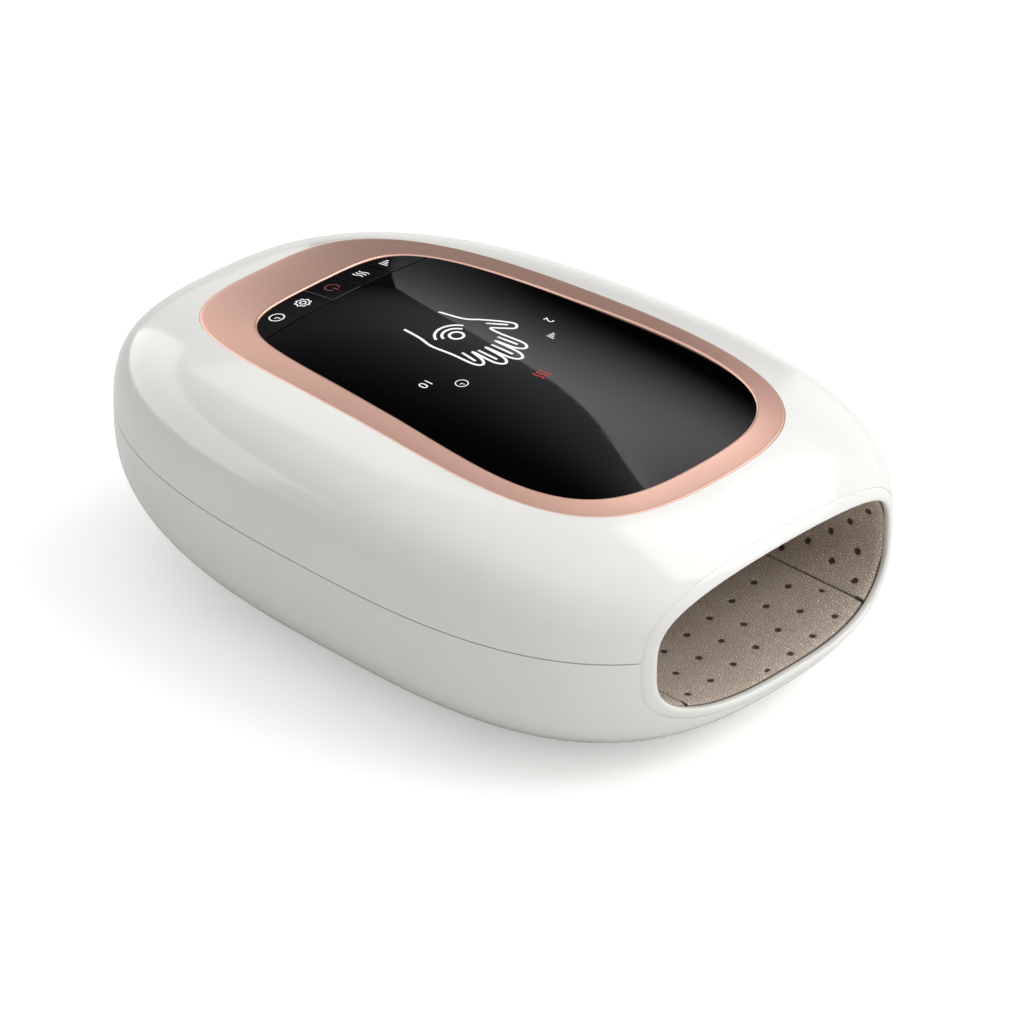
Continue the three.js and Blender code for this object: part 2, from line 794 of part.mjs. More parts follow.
// Bezel of the mouth: a lip rolled out of the housing's own surface, and a skirt behind it
function mouthBezel() {
  const sections = Array.from({ length: aroundOutline }, (_, i) => {
    const angle = (i / aroundOutline) * 2 * Math.PI;
    const outer = mouthPoint(angle, bezelWidth, bezelHeight);
    const inner = mouthPoint(angle, lipWidth, lipHeight);
    const skirt = mouthPoint(angle, bezelWidth - 2 * bezelSkirtWall, bezelHeight - 2 * bezelSkirtWall);
    const at = (point, depth) => [point.x, frontRow(point.x, point.y) + depth, point.y];
    const rear = Math.max(skirtRow(outer.x), frontRow(outer.x, outer.y) + bezelFlange + bond);
    const lip = lipRoll.map(([share, deep]) => at(outer.clone().lerp(inner, share), deep * lipRollDepth));
    return [
      ...lip,
      at(inner, bezelFlange),
      at(skirt, bezelFlange),
      [skirt.x, Math.max(rear, frontRow(skirt.x, skirt.y) + bezelFlange + bond), skirt.y],
      [outer.x, rear, outer.y],
    ];
  });
  return hoopGeometry(sections);
}

// Trim ring: a band round the pane, dished so that its face dips towards the pane
function trimRing() {
  const outer = planOutline(ringPlan, 0);
  const inner = planOutline(panePlan, 0);
  const band = crownLayer(outer, 0, ringThickness).subtract(planPrism(inner, rimHeight, overTop));
  const sections = outer.map((start, i) => {
    const at = (share, inset) => {
      const point = start.clone().lerp(inner[i], share);
      return [point.x, point.y, crownHeight(point.x, point.y, inset)];
    };
    const [first, ...between] = ringFaceShares;
    const last = 2 - first;
    const face = between.map((share) => at(share, ringDip * share ** ringHollowShare + ringEdge));
    return [at(last, -overrun), at(last, ringDip + 2 * ringEdge), ...face.reverse(), at(first, 0), at(first, -overrun)];
  });
  return band.subtract(solid(hoopGeometry(sections)));
}

// The pane's own outline with its clearance inside the ring, and the region of each key
const paneOutline = planOutline(panePlan, -fit);
const keyEdges = [-halfWidth, -1.5 * keyPitch, -0.5 * keyPitch, 0.5 * keyPitch, 1.5 * keyPitch, halfWidth];

function displayPane() {
  const region = solid(block(-halfWidth, halfWidth, -halfLength, keyRowStart - keyGap / 2, rimHeight, overTop));
  return crownLayer(paneOutline, paneDip, paneDip + paneThickness).intersect(region);
}

function keyStemX(index) {
  const middle = (keyEdges[index] + keyEdges[index + 1]) / 2;
  return Math.sign(middle) * Math.min(Math.abs(middle), outerKeyStemX);
}

const switchTop = keyBoardHeight + boardThickness + switchHeight + switchButtonHeight;

function keyCap(index) {
  const region = solid(block(
    keyEdges[index] + keyGap / 2,
    keyEdges[index + 1] - keyGap / 2,
    keyRowStart + keyGap / 2,
    halfLength,
    rimHeight,
    overTop,
  ));
  const cap = crownLayer(paneOutline, paneDip, paneDip + keyCapThickness).intersect(region);
  const x = keyStemX(index);
  const stem = solid(block(
    x - keyStemWidth / 2,
    x + keyStemWidth / 2,
    keyRow - keyStemLength / 2,
    keyRow + keyStemLength / 2,
    switchTop + keyTravel + bond / 2,
    overTop,
  )).intersect(pebble(paneDip + keyCapThickness / 2));
  return cap.add(stem);
}

// Tray under the pane and the keys: a thin shell with a slot for each stem and posts for the boards
function displayTray() {
  let tray = crownLayer(paneOutline, trayDip, trayDip + trayThickness);
  const boardTop = displayBoardHeight + boardThickness + fit;
  const postPlacesOfBoards = [
    [-displayBoardWidth / 2 + 2 * trayPostRadius, displayBoardFront + 2 * trayPostRadius, boardTop],
    [displayBoardWidth / 2 - 2 * trayPostRadius, displayBoardFront + 2 * trayPostRadius, boardTop],
    [-displayBoardWidth / 2 + 2 * trayPostRadius, displayBoardRear - 2 * trayPostRadius, boardTop],
    [displayBoardWidth / 2 - 2 * trayPostRadius, displayBoardRear - 2 * trayPostRadius, boardTop],
    [-keyPitch / 2, keyRow - switchSize / 2, keyBoardHeight + boardThickness + fit],
    [keyPitch / 2, keyRow - switchSize / 2, keyBoardHeight + boardThickness + fit],
  ];
  for (const [x, y, z] of postPlacesOfBoards) {
    const post = solid(uprightRod(trayPostRadius, x, y, z, overTop, sidesSmall)).intersect(pebble(trayDip + trayThickness / 2));
    tray = tray.add(post);
  }
  for (let i = 0; i < 5; i += 1) {
    const x = keyStemX(i);
    tray = tray.subtract(solid(block(
      x - keyStemWidth / 2 - slideFit,
      x + keyStemWidth / 2 + slideFit,
      keyRow - keyStemLength / 2 - slideFit,
      keyRow + keyStemLength / 2 + slideFit,
      keyBoardHeight,
      overTop,
    )));
  }
  const lampWindow = lampBlockSize - 2 * bond;
  for (const [x, y] of lampPlaces()) {
    tray = tray.subtract(solid(block(
      x - lampWindow / 2,
      x + lampWindow / 2,
      y - lampWindow / 2,
      y + lampWindow / 2,
      displayBoardHeight,
      overTop,
    )));
  }
  return tray;
}

// Lamp blocks under the pane: one for each figure that lights up
function lampPlaces() {
  const front = blend(displayBoardFront, displayBoardRear, lampFrontShare);
  const rear = blend(displayBoardFront, displayBoardRear, lampRearShare);
  const side = displayBoardWidth / 2 - lampBlockSize;
  return [[0, rear], [-side, rear], [side, rear], [0, front]];
}

function displayBoard() {
  const top = displayBoardHeight + boardThickness;
  let board = solid(block(
    -displayBoardWidth / 2,
    displayBoardWidth / 2,
    displayBoardFront,
    displayBoardRear,
    displayBoardHeight,
    top,
  ));
  for (const [x, y] of lampPlaces()) {
    const half = lampBlockSize / 2;
    board = board.add(solid(block(x - half, x + half, y - half, y + half, top - bond, top + lampBlockHeight)));
  }
  return board;
}

function keyBoard() {
  const top = keyBoardHeight + boardThickness;
  let board = solid(block(
    -keyBoardWidth / 2,
    keyBoardWidth / 2,
    keyRow - keyBoardDepth / 2,
    keyRow + keyBoardDepth / 2,
    keyBoardHeight,
    top,
  ));
  for (let i = 0; i < 5; i += 1) {
    const x = keyStemX(i);
    const half = switchSize / 2;
    board = board.add(solid(block(x - half, x + half, keyRow - half, keyRow + half, top - bond, top + switchHeight)));
    board = board.add(solid(uprightRod(switchButtonRadius, x, keyRow, top + switchHeight - bond, switchTop, sidesSmall)));
  }
  return board;
}

// Lining of the pocket: fixed edge and sides, a roof pad and a floor pad that the bags press inwards
const pocketSpace = insideWall.intersect(behindMouth(bezelDepth + fit)).intersect(pebble(wall + fit));
const panelHalf = panelSeam - panelGap / 2;
const lowHalf = slab(underTable, mouthHeight);
const highHalf = slab(mouthHeight, overTop);

function padPanel(grow, inner, region) {
  return pocketForm(grow, frontEnd, pocketRear).subtract(pocketForm(inner, frontEnd - overrun, halfLength))
    .intersect(region)
    .intersect(pocketSpace);
}

function panelRegion(x0, x1) {
  return solid(block(x0, x1, -halfLength, pocketRear - padThickness - panelGap, underTable, overTop));
}

function roofPad() {
  return padPanel(padThickness, 0, panelRegion(-panelHalf, panelHalf)).intersect(highHalf);
}

function floorPad() {
  return padPanel(padThickness, 0, panelRegion(-panelHalf, panelHalf)).intersect(lowHalf);
}

function heatingFilm() {
  const film = padPanel(padThickness + fit + heaterThickness, padThickness + fit, planPrism(planOutline(bagPlan, 0), underTable, overTop));
  return film.intersect(lowHalf);
}

function sideLining(side) {
  const x0 = side < 0 ? -halfWidth : panelSeam + panelGap / 2;
  const x1 = side < 0 ? -panelSeam - panelGap / 2 : halfWidth;
  return padPanel(frameInner - fit, 0, solid(block(x0, x1, -halfLength, pocketRear, underTable, overTop)));
}

function endLining() {
  const region = solid(block(-panelHalf, panelHalf, pocketRear - padThickness, pocketRear, underTable, overTop));
  return pocketForm(-fit, frontEnd, pocketRear).intersect(region);
}

function mouthLining() {
  const band = mouthPrism(bezelWidth - 2 * bezelSkirtWall - fit, bezelHeight - 2 * bezelSkirtWall - fit, frontEnd, -halfLength / 2)
    .subtract(mouthPrism(lipWidth + fit, lipHeight + fit, frontEnd - overrun, 0));
  return band.intersect(pebble(bezelFlange + fit)).subtract(behindMouth(bezelDepth));
}

function airBag(side) {
  const region = planPrism(planOutline(bagPlan, 0), underTable, overTop);
  const inner = side > 0 ? bagInner - heaterThickness - fit : bagInner;
  const sheet = padPanel(bagOuter, inner, region).intersect(side > 0 ? highHalf : lowHalf);
  const y = bagRear - nippleInset;
  const face = side > 0 ? pocketRoof(y) + bagOuter : pocketFloor(y) - bagOuter;
  const tip = face + side * nippleHeight;
  const [low, high] = side > 0 ? [face - bagThickness, tip] : [tip, face + bagThickness];
  return sheet.add(solid(uprightRod(nippleRadius, nippleX, y, low + bond, high - bond, sidesSmall)));
}

function pocketFrame(side) {
  const outer = pocketForm(frameOuter, frontEnd, pocketRear + frameWall + fit);
  const hollow = pocketForm(frameInner, frontEnd - overrun, pocketRear + fit);
  const half = side > 0 ? slab(mouthHeight + bond, overTop) : slab(underTable, mouthHeight - bond);
  const y = bagRear - nippleInset;
  const hole = solid(uprightRod(nippleRadius + fit, nippleX, y, underTable, overTop, sidesSmall));
  return outer.subtract(hollow)
    .intersect(half)
    .intersect(behindMouth(bezelDepth + fit))
    .intersect(pebble(seatBottom + fit))
    .subtract(hole);
}

// Motor can, turned, with a hole for the shaft and bush at its front
const motorFrontX = motorRearX + motorLength;

function motorCan() {
  return crossLathe([
    [bushRadius + slideFit, motorFrontX],
    [motorRadius, motorFrontX],
    [motorRadius, motorRearX],
    [shaftRadius + shaftFit, motorRearX],
    [shaftRadius + shaftFit, motorRearX + motorWall],
    [motorRadius - motorWall, motorRearX + motorWall],
    [motorRadius - motorWall, motorFrontX - motorWall],
    [bushRadius + slideFit, motorFrontX - motorWall],
    [bushRadius + slideFit, motorFrontX],
  ], pumpRow, pumpAxisHeight, sidesLarge);
}

function motorBush() {
  return crossLathe([
    [shaftRadius + shaftFit, motorFrontX],
    [bushRadius, motorFrontX],
    [bushRadius, motorFrontX - bushLength],
    [shaftRadius + shaftFit, motorFrontX - bushLength],
    [shaftRadius + shaftFit, motorFrontX],
  ], pumpRow, pumpAxisHeight, sidesMiddle);
}

function pumpRotor() {
  const armatureRear = motorRearX + (motorLength - armatureLength) / 2;
  const crankRear = motorFrontX + headWall + fit;
  const shaft = solid(crossRod(shaftRadius, motorRearX + motorWall / 2, crankRear + crankLength, pumpRow, pumpAxisHeight, sidesMiddle));
  const armature = solid(crossRod(armatureRadius, armatureRear, armatureRear + armatureLength, pumpRow, pumpAxisHeight, sidesLarge));
  const crankY = pumpRow + crankOffset;
  const crank = solid(crossRod(crankRadius, crankRear, crankRear + crankLength, crankY, pumpAxisHeight, sidesMiddle));
  return shaft.add(armature).add(crank);
}

function pumpHead() {
  const x0 = motorFrontX + fit;
  const half = headSize / 2;
  const y = pumpRow;
  const z = pumpAxisHeight;
  return solid(block(x0, x0 + headLength, y - half, y + half, z - half, z + half))
    .subtract(solid(crossRod(headCavityRadius, x0 + headWall - bond, x0 + headLength - headWall, y, z, sidesLarge)))
    .subtract(solid(crossRod(bushRadius, x0 - overrun, x0 + headWall, y, z, sidesMiddle)))
    .add(solid(crossRod(outletRadius, x0 + headLength - bond, x0 + headLength + outletLength, y, manifoldZ, sidesSmall)));
}

// Rubber disc that the crank's wobble flexes
function pumpDiaphragm() {
  const x0 = motorFrontX + headWall + fit + crankLength + fit;
  return crossRod(headCavityRadius - 2 * fit, x0, x0 + diaphragmThickness, pumpRow, pumpAxisHeight, sidesLarge);
}

function pumpSleeve() {
  const inner = motorRadius + slideFit;
  const outer = inner + sleeveWall;
  const x0 = motorRearX + sleeveSetback;
  const x1 = x0 + sleeveLength;
  return crossLathe([[inner, x1], [outer, x1], [outer, x0], [inner, x0], [inner, x1]], pumpRow, pumpAxisHeight, sidesLarge);
}

// Tray that carries the pump and the manifold over the cells
const saddleX = motorRearX + sleeveSetback + sleeveLength / 2;

function pumpTray() {
  const sleeveOuter = motorRadius + slideFit + sleeveWall;
  const plate = solid(block(pumpTrayLeft, pumpTrayRight, pumpTrayFront, pumpTrayRear, trayFloorHeight, trayTop));
  const saddle = solid(block(
    saddleX - saddleThickness / 2,
    saddleX + saddleThickness / 2,
    pumpRow - sleeveOuter,
    pumpRow + sleeveOuter,
    trayFloorHeight,
    pumpAxisHeight - sleeveOuter / 2,
  ));
  return plate.add(saddle)
    .subtract(solid(crossRod(sleeveOuter + slideFit, motorRearX - overrun, motorFrontX, pumpRow, pumpAxisHeight, sidesLarge)))
    .intersect(pebble(wall + fit));
}

// Valve manifold and the two solenoid valves on it

function valveManifold() {
  const inletX = manifoldLeft - outletLength;
  const row = pumpRow;
  const z = manifoldFloor + manifoldHeight / 2;
  let manifold = solid(block(
    manifoldLeft,
    manifoldLeft + manifoldWidth,
    row - manifoldDepth / 2,
    row + manifoldDepth / 2,
    manifoldFloor,
    manifoldTop,
  ));
  manifold = manifold.add(solid(crossRod(outletRadius, inletX, manifoldLeft + bond, row, z, sidesSmall)));
  for (const x of valveXs) {
    const outlet = new THREE.CylinderGeometry(outletRadius, outletRadius, outletLength + bond, sidesSmall);
    outlet.translate(x, row - manifoldDepth / 2 - outletLength / 2 + bond / 2, z);
    manifold = manifold.add(solid(outlet));
  }
  return manifold;
}

function valveBody(x) {
  const half = valveWidth / 2;
  return solid(block(x - half, x + half, pumpRow - half, pumpRow + half, valveFloor, valveTop))
    .subtract(solid(uprightRod(valveBoreRadius, x, pumpRow, valveFloor + valveWall, valveTop + overrun, sidesMiddle)));
}

function valvePlunger(x) {
  const radius = valveBoreRadius - slideFit;
  const z0 = valveFloor + valveWall + plungerTravel + bond;
  return uprightRod(radius, x, pumpRow, z0, z0 + plungerLength, sidesMiddle);
}

// Rings of points round a path whose corners are rounded off
function pathRings(points, radii, bend, sides) {
  const corners = points.map((point) => new THREE.Vector3(...point));
  const first = corners[1].clone().sub(corners[0]).normalize();
  const stations = [[corners[0], first]];
  for (let i = 1; i < corners.length - 1; i += 1) {
    const before = corners[i].clone().add(corners[i - 1].clone().sub(corners[i]).setLength(bend));
    const after = corners[i].clone().add(corners[i + 1].clone().sub(corners[i]).setLength(bend));
    const curve = new THREE.QuadraticBezierCurve3(before, corners[i], after);
    bendShares.forEach((share) => stations.push([curve.getPoint(share), curve.getTangent(share)]));
  }
  const end = corners[corners.length - 1];
  stations.push([end, end.clone().sub(corners[corners.length - 2]).normalize()]);
  const side = new THREE.Vector3(first.z, first.x, first.y).cross(first).normalize();
  const rings = radii.map(() => []);
  for (const [point, along] of stations) {
    side.addScaledVector(along, -side.dot(along)).normalize();
    const other = along.clone().cross(side);
    radii.forEach((radius, r) => rings[r].push(Array.from({ length: sides }, (_, i) => {
      const angle = (i / sides) * 2 * Math.PI;
      const spot = point.clone()
        .addScaledVector(side, radius * Math.cos(angle))
        .addScaledVector(other, radius * Math.sin(angle));
      return [spot.x, spot.y, spot.z];
    })));
  }
  return rings;
}

// A soft hose that slips over a nozzle at each end
function hose(points) {
  const [outer, inner] = pathRings(points, [hoseOuter, hoseBore], hoseBend, aroundHose);
  const sections = Array.from({ length: aroundHose }, (_, i) => (
    [...outer.map((ring) => ring[i]), ...inner.map((ring) => ring[i]).reverse()]
  ));
  return hoopGeometry(sections);
}

function wire(points) {
  const [rings] = pathRings(points, [wireRadius], wireBend, aroundWire);
  return latticeGeometry([...rings].reverse(), points[points.length - 1], points[0]);
}

// A flat cable of even thickness along (y, z) points
function ribbon(points) {
  const path = points.map(([y, z]) => new THREE.Vector2(y, z));
  const offset = (side) => path.map((point, i) => {
    const before = path[Math.max(0, i - 1)];
    const after = path[Math.min(path.length - 1, i + 1)];
    const along = after.clone().sub(before).normalize();
    return new THREE.Vector2(
      point.x - (along.y * side * ribbonThickness) / 2,
      point.y + (along.x * side * ribbonThickness) / 2,
    );
  });
  const shape = new THREE.Shape([...offset(1), ...offset(-1).reverse()]);
  const geometry = new THREE.ExtrudeGeometry(shape, { depth: ribbonWidth, bevelEnabled: false });
  geometry.rotateY(Math.PI / 2);
  geometry.rotateX(Math.PI / 2);
  geometry.translate(-ribbonWidth / 2, 0, 0);
  return geometry;
}

function mainBoard() {
  const front = mainBoardRow;
  const rear = mainBoardRow + boardThickness;
  const half = mainBoardWidth / 2;
  const chip = mainBoardWidth / 5;
  const chipZ = (mainBoardBottom + mainBoardTop) / 2;
  return solid(block(-half, half, front, rear, mainBoardBottom, mainBoardTop))
    .add(solid(block(-chip, 0, front - boardThickness, front + bond, chipZ - chip / 2, chipZ + chip / 2)))
    .add(solid(block(chip, 2 * chip, front - 3 * boardThickness, front + bond, chipZ, chipZ + chip)))
    .add(solid(block(chip / 2, 2 * chip, front - 2 * boardThickness, front + bond, mainBoardBottom + boardThickness, chipZ - boardThickness)));
}

function roundedSlot(width, height, y0, y1) {
  const r = height / 2;
  const shape = new THREE.Shape();
  shape.absarc(width / 2 - r, 0, r, -Math.PI / 2, Math.PI / 2, false);
  shape.absarc(-width / 2 + r, 0, r, Math.PI / 2, (3 * Math.PI) / 2, false);
  shape.closePath();
  const geometry = new THREE.ExtrudeGeometry(shape, { depth: y1 - y0, bevelEnabled: false, curveSegments: 8 });
  geometry.rotateX(Math.PI / 2);
  geometry.translate(0, y1, portAxisHeight);
  return solid(geometry);
}

function chargePort() {
  const y0 = mainBoardRow + boardThickness + bond;
  const y1 = y0 + portLength;
  const cavity = roundedSlot(portWidth - 2 * portWall, portHeight - 2 * portWall, y0 + 3 * portWall, y1 + overrun);
  const tongue = solid(block(
    -portTongueWidth / 2,
    portTongueWidth / 2,
    y0 + portWall,
    y1 - 2 * portWall,
    portAxisHeight - portTongueThickness / 2,
    portAxisHeight + portTongueThickness / 2,
  ));
  return roundedSlot(portWidth, portHeight, y0, y1).subtract(cavity).add(tongue);
}

function caseScrew(x, y) {
  const head = solid(uprightRod(screwHeadRadius, x, y, screwHeadGround, screwHeadGround + screwHeadHeight - bond, sidesMiddle));
  const tip = screwHeadGround + screwHeadHeight + screwShankLength;
  return head.add(solid(uprightRod(screwShankRadius, x, y, screwHeadGround + bond, tip, sidesSmall)));
}

function cell(y) {
  const end = cellLength / 2;
  return crossLathe([
    [0, end + cellCapHeight],
    [cellCapRadius, end + cellCapHeight],
    [cellCapRadius, end],
    [cellRadius - cellCapHeight, end],
    [cellRadius, end - cellCapHeight],
    [cellRadius, -end],
    [0, -end],
  ], y, cellHeight, sidesLarge);
}

place('upper_shell', whiteShell, upperShell());
place('lower_shell', whiteShell, lowerShell());
place('mouth_bezel', whiteShell, mouthBezel());
place('trim_ring', roseTrim, trimRing());
place('display_pane', blackPane, displayPane());
const keyNames = ['timer_key', 'mode_key', 'power_key', 'heat_key', 'strength_key'];
keyNames.forEach((name, i) => place(name, blackPane, keyCap(i)));
place('display_tray', blackPlastic, displayTray());
place('display_board', boardGreen, displayBoard());
place('key_board', boardGreen, keyBoard());
place('mouth_lining', beigeLeather, mouthLining());
place('roof_pad', beigeLeather, roofPad());
place('floor_pad', beigeLeather, floorPad());
place('heating_film', heaterAmber, heatingFilm());
place('left_lining', beigeLeather, sideLining(-1));
place('right_lining', beigeLeather, sideLining(1));
place('end_lining', beigeLeather, endLining());
place('upper_air_bag', bagFilm, airBag(1));
place('lower_air_bag', bagFilm, airBag(-1));
place('upper_pocket_frame', greyPlastic, pocketFrame(1));
place('lower_pocket_frame', greyPlastic, pocketFrame(-1));
place('pump_motor_can', steel, motorCan());
place('motor_bush', brass, motorBush());
place('pump_rotor', copper, pumpRotor());
place('pump_head', blackPlastic, pumpHead());
place('pump_diaphragm', rubber, pumpDiaphragm());
place('pump_sleeve', rubber, pumpSleeve());
place('pump_tray', greyPlastic, pumpTray());
place('valve_manifold', blackPlastic, valveManifold());
['upper_bag_valve', 'lower_bag_valve'].forEach((name, i) => place(name, blackPlastic, valveBody(valveXs[i])));
['upper_bag_plunger', 'lower_bag_plunger'].forEach((name, i) => place(name, steel, valvePlunger(valveXs[i])));
place('main_board', boardGreen, mainBoard());
place('charge_port', steel, chargePort());
place('front_cell', cellBlue, cell(cellFrontRow));
place('rear_cell', cellBlue, cell(cellRearRow));
postPlaces.forEach(([x, y], i) => place(`case_screw_${i + 1}`, steel, caseScrew(x, y)));
footPlaces.forEach(([x, y], i) => {
  place(`foot_${i + 1}`, rubber, uprightRod(footRadius, x, y, 0, footHeight + footSocket - bond / 2, sidesMiddle));
});

// Hoses: pump to manifold, and each valve to its bag
const headFrontX = motorFrontX + fit + headLength;
const nippleRow = bagRear - nippleInset;
const hoseStart = pumpRow - manifoldDepth / 2 - fit;
const hoseOuter = hoseBore + hoseWall;
const lowerHoseHeight = footHeight + wall + hoseOuter + lowerHoseClearance;
place('pump_hose', silicone, hose([
  [headFrontX + fit, pumpRow, manifoldZ],
  [manifoldLeft - fit, pumpRow, manifoldZ],
]));
place('upper_bag_hose', silicone, hose([
  [valveXs[1], hoseStart, manifoldZ],
  [valveXs[1], hoseRow, manifoldZ],
  [valveXs[1], hoseRow, crownHeight(valveXs[1], hoseRow, wall) - hoseOuter - upperHoseClearance],
  [nippleX, nippleRow, pocketRoof(nippleRow) + frameOuter + upperHoseRise],
  [nippleX, nippleRow, pocketRoof(nippleRow) + frameOuter + fit],
]));
place('lower_bag_hose', silicone, hose([
  [valveXs[0], hoseStart, manifoldZ],
  [valveXs[0], hoseRow, manifoldZ],
  [valveXs[0], hoseRow, lowerHoseHeight],
  [nippleX, nippleRow, lowerHoseHeight],
  [nippleX, nippleRow, pocketFloor(nippleRow) - frameOuter - fit],
]));

// Ribbon cables between the boards
const keyBoardMiddle = keyBoardHeight + boardThickness / 2;
place('display_ribbon', heaterAmber, ribbon([
  [displayBoardRear + bond, displayBoardHeight + boardThickness / 2],
  [displayBoardRear + ribbonSlack, displayBoardHeight + boardThickness / 2 + ribbonLift],
  [keyRow - keyBoardDepth / 2 - ribbonSlack, keyBoardMiddle + ribbonLift],
  [keyRow - keyBoardDepth / 2 - bond, keyBoardMiddle],
]));
place('main_ribbon', heaterAmber, ribbon([
  [keyRow + keyBoardDepth / 2 + bond, keyBoardMiddle],
  [keyRow + keyBoardDepth / 2 + ribbonSlack, keyBoardMiddle + ribbonLift],
  [mainBoardRow - ribbonSlack, keyBoardMiddle - ribbonLift],
  [mainBoardRow + boardThickness / 2 - ribbonThickness, mainBoardTop + ribbonThickness],
]));

// Strips across the ends of the cells, and the leads from cells and motor to the main board
const stripXs = [-cellLength / 2 - bond - stripThickness, cellLength / 2 + cellCapHeight + bond];
['left_cell_strip', 'right_cell_strip'].forEach((name, i) => place(name, steel, block(
  stripXs[i],
  stripXs[i] + stripThickness,
  cellFrontRow - stripWidth / 2,
  cellRearRow + stripWidth / 2,
  cellHeight - stripWidth / 2,
  cellHeight + stripWidth / 2,
)));
const boardEdge = mainBoardWidth / 2 + wireRadius;
const boardMiddleRow = mainBoardRow + boardThickness / 2;
['left_cell_lead', 'right_cell_lead'].forEach((name, i) => {
  const side = i === 0 ? -1 : 1;
  const start = stripXs[i] + (side < 0 ? -bond : stripThickness + bond);
  const turn = start + side * cellLeadReach;
  place(name, rubber, wire([
    [start, cellRearRow, cellHeight],
    [turn, cellRearRow, cellHeight],
    [turn, mainBoardRow - leadTurnSetback, cellHeight + cellLeadRise],
    [side * boardEdge, boardMiddleRow, cellHeight + cellLeadRise],
  ]));
});
['upper_motor_lead', 'lower_motor_lead'].forEach((name, i) => {
  const z = pumpAxisHeight + (0.5 - i) * motorLeadSpacing;
  const row = pumpRow + motorLeadSpacing;
  place(name, rubber, wire([
    [motorRearX - bond, row, z],
    [motorRearX - motorLeadReach, row, z],
    [motorLeadBorder - halfWidth, mainBoardRow - leadTurnSetback, z],
    [-boardEdge, boardMiddleRow, z],
  ]));
});

// The origin goes to the centre of the footprint
const reach = new THREE.Box3().setFromObject(massager);
for (const piece of massager.children) piece.position.y = -(reach.min.y + reach.max.y) / 2;

export default massager;
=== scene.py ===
# Hand massager, dressed: a polished white pebble in two shells with a rose-gold ring, a black
# touch pane, five keys, and a leather-lined pocket for one hand. Sizes are in millimetres in the
# maker's drawing frame, with Y 0 at the middle of the housing, and turned to metres when a piece is made.
import math

import bmesh
import bpy
from mathutils import Matrix, Vector


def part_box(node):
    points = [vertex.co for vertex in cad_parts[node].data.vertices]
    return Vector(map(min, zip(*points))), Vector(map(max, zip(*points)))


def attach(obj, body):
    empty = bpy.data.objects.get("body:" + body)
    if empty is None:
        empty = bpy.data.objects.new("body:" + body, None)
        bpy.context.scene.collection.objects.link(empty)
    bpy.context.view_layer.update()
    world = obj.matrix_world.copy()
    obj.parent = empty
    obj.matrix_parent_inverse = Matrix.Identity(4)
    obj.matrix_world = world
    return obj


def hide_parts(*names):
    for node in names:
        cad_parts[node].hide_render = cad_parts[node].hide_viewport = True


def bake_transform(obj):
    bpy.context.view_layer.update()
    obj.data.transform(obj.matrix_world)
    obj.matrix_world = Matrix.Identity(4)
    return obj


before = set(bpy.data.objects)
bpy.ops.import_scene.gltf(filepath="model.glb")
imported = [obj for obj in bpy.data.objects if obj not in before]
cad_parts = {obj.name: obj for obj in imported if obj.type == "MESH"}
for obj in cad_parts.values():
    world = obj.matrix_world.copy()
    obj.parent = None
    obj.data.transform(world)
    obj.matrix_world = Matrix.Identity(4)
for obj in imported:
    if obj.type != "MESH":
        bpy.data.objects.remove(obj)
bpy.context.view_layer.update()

# ---- Camera
# The photograph is taken from above the front left with a long lens, so that the pebble's outline
# hardly tapers with distance. The aim and the distance were fitted to the outline and the display.
half_length = 125.0
drawing_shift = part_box("lower_shell")[1].y * 1000 - half_length
azimuth, elevation, roll = math.radians(-47.779), math.radians(30.266), math.radians(0.386)
aim = Vector((0.08, -10.09 + drawing_shift, 33.96)) / 1000
away = Vector((
    math.sin(azimuth) * math.cos(elevation), -math.cos(azimuth) * math.cos(elevation), math.sin(elevation),
))
level = Vector((math.cos(azimuth), math.sin(azimuth), 0))
over = away.cross(level)
camera_distance = 1.818
right = level * math.cos(roll) + over * math.sin(roll)
upward = over * math.cos(roll) - level * math.sin(roll)
camera = bpy.data.objects.new("camera", bpy.data.cameras.new("camera"))
camera.data.sensor_width = 36
camera.data.lens = 212.53
camera.data.clip_start, camera.data.clip_end = 0.05, 50
turned = Matrix((right, upward, away)).transposed().to_4x4()
camera.matrix_world = Matrix.Translation(aim + away * camera_distance) @ turned
bpy.context.scene.collection.objects.link(camera)
bpy.context.scene.camera = camera
bpy.context.scene.view_settings.view_transform = "Standard"

# ---- Upper shell
# The real piece is injection-moulded ABS, 2.5 mm thick, mirror polished in the mould. It carries the
# trim ring in a seat round its window, and meets the lower shell at a fine parting line.
half_width = 83.0
crown_top, rim_height, crown_power = 87.0, 45.9, 3.008
crown_fall_across, crown_fall_along = 9.3, 6.4
plan_taper, mouth_power, rear_power = -0.074, 2.817, 2.703
crown_shoulders = (2.353, 5.405, 3.571)
belly_depth, belly_power, belly_soft, foot_height = 49.6, 2.797, 3.0, 2.0
belly_shoulders = (3.509, 2.222, 2.0)
parting_height, parting_gap, wall = 48.3, 0.34, 2.5
ring_plan = (53.2, 92.8, 2.2, -0.134, 3.279, 3.937)
pane_plan = (45.2, 76.2, -5.6, -0.17, 3.361, 5.682)
mouth_height, mouth_roundness = 45.3, 3.165
bezel_half_width, bezel_half_height = 56.3, 23.4
halvings = 34


def rounded(value, power):
    return math.copysign(abs(value) ** power, value)


def mixed(a, b, share):
    return a + (b - a) * share


def reach_at(y):
    return half_width * (1 + plan_taper * y / half_length)


def plan_share(x, y):
    power = mouth_power if y < 0 else rear_power
    return ((abs(x) / reach_at(y)) ** power + (abs(y) / half_length) ** power) ** (1 / power)


def shoulder(x, y, mouth, side, rear):
    across, along = (x / half_width) ** 2, (y / half_length) ** 2
    return mixed(mouth if y < 0 else rear, side, across / (across + along) if across + along else 0)


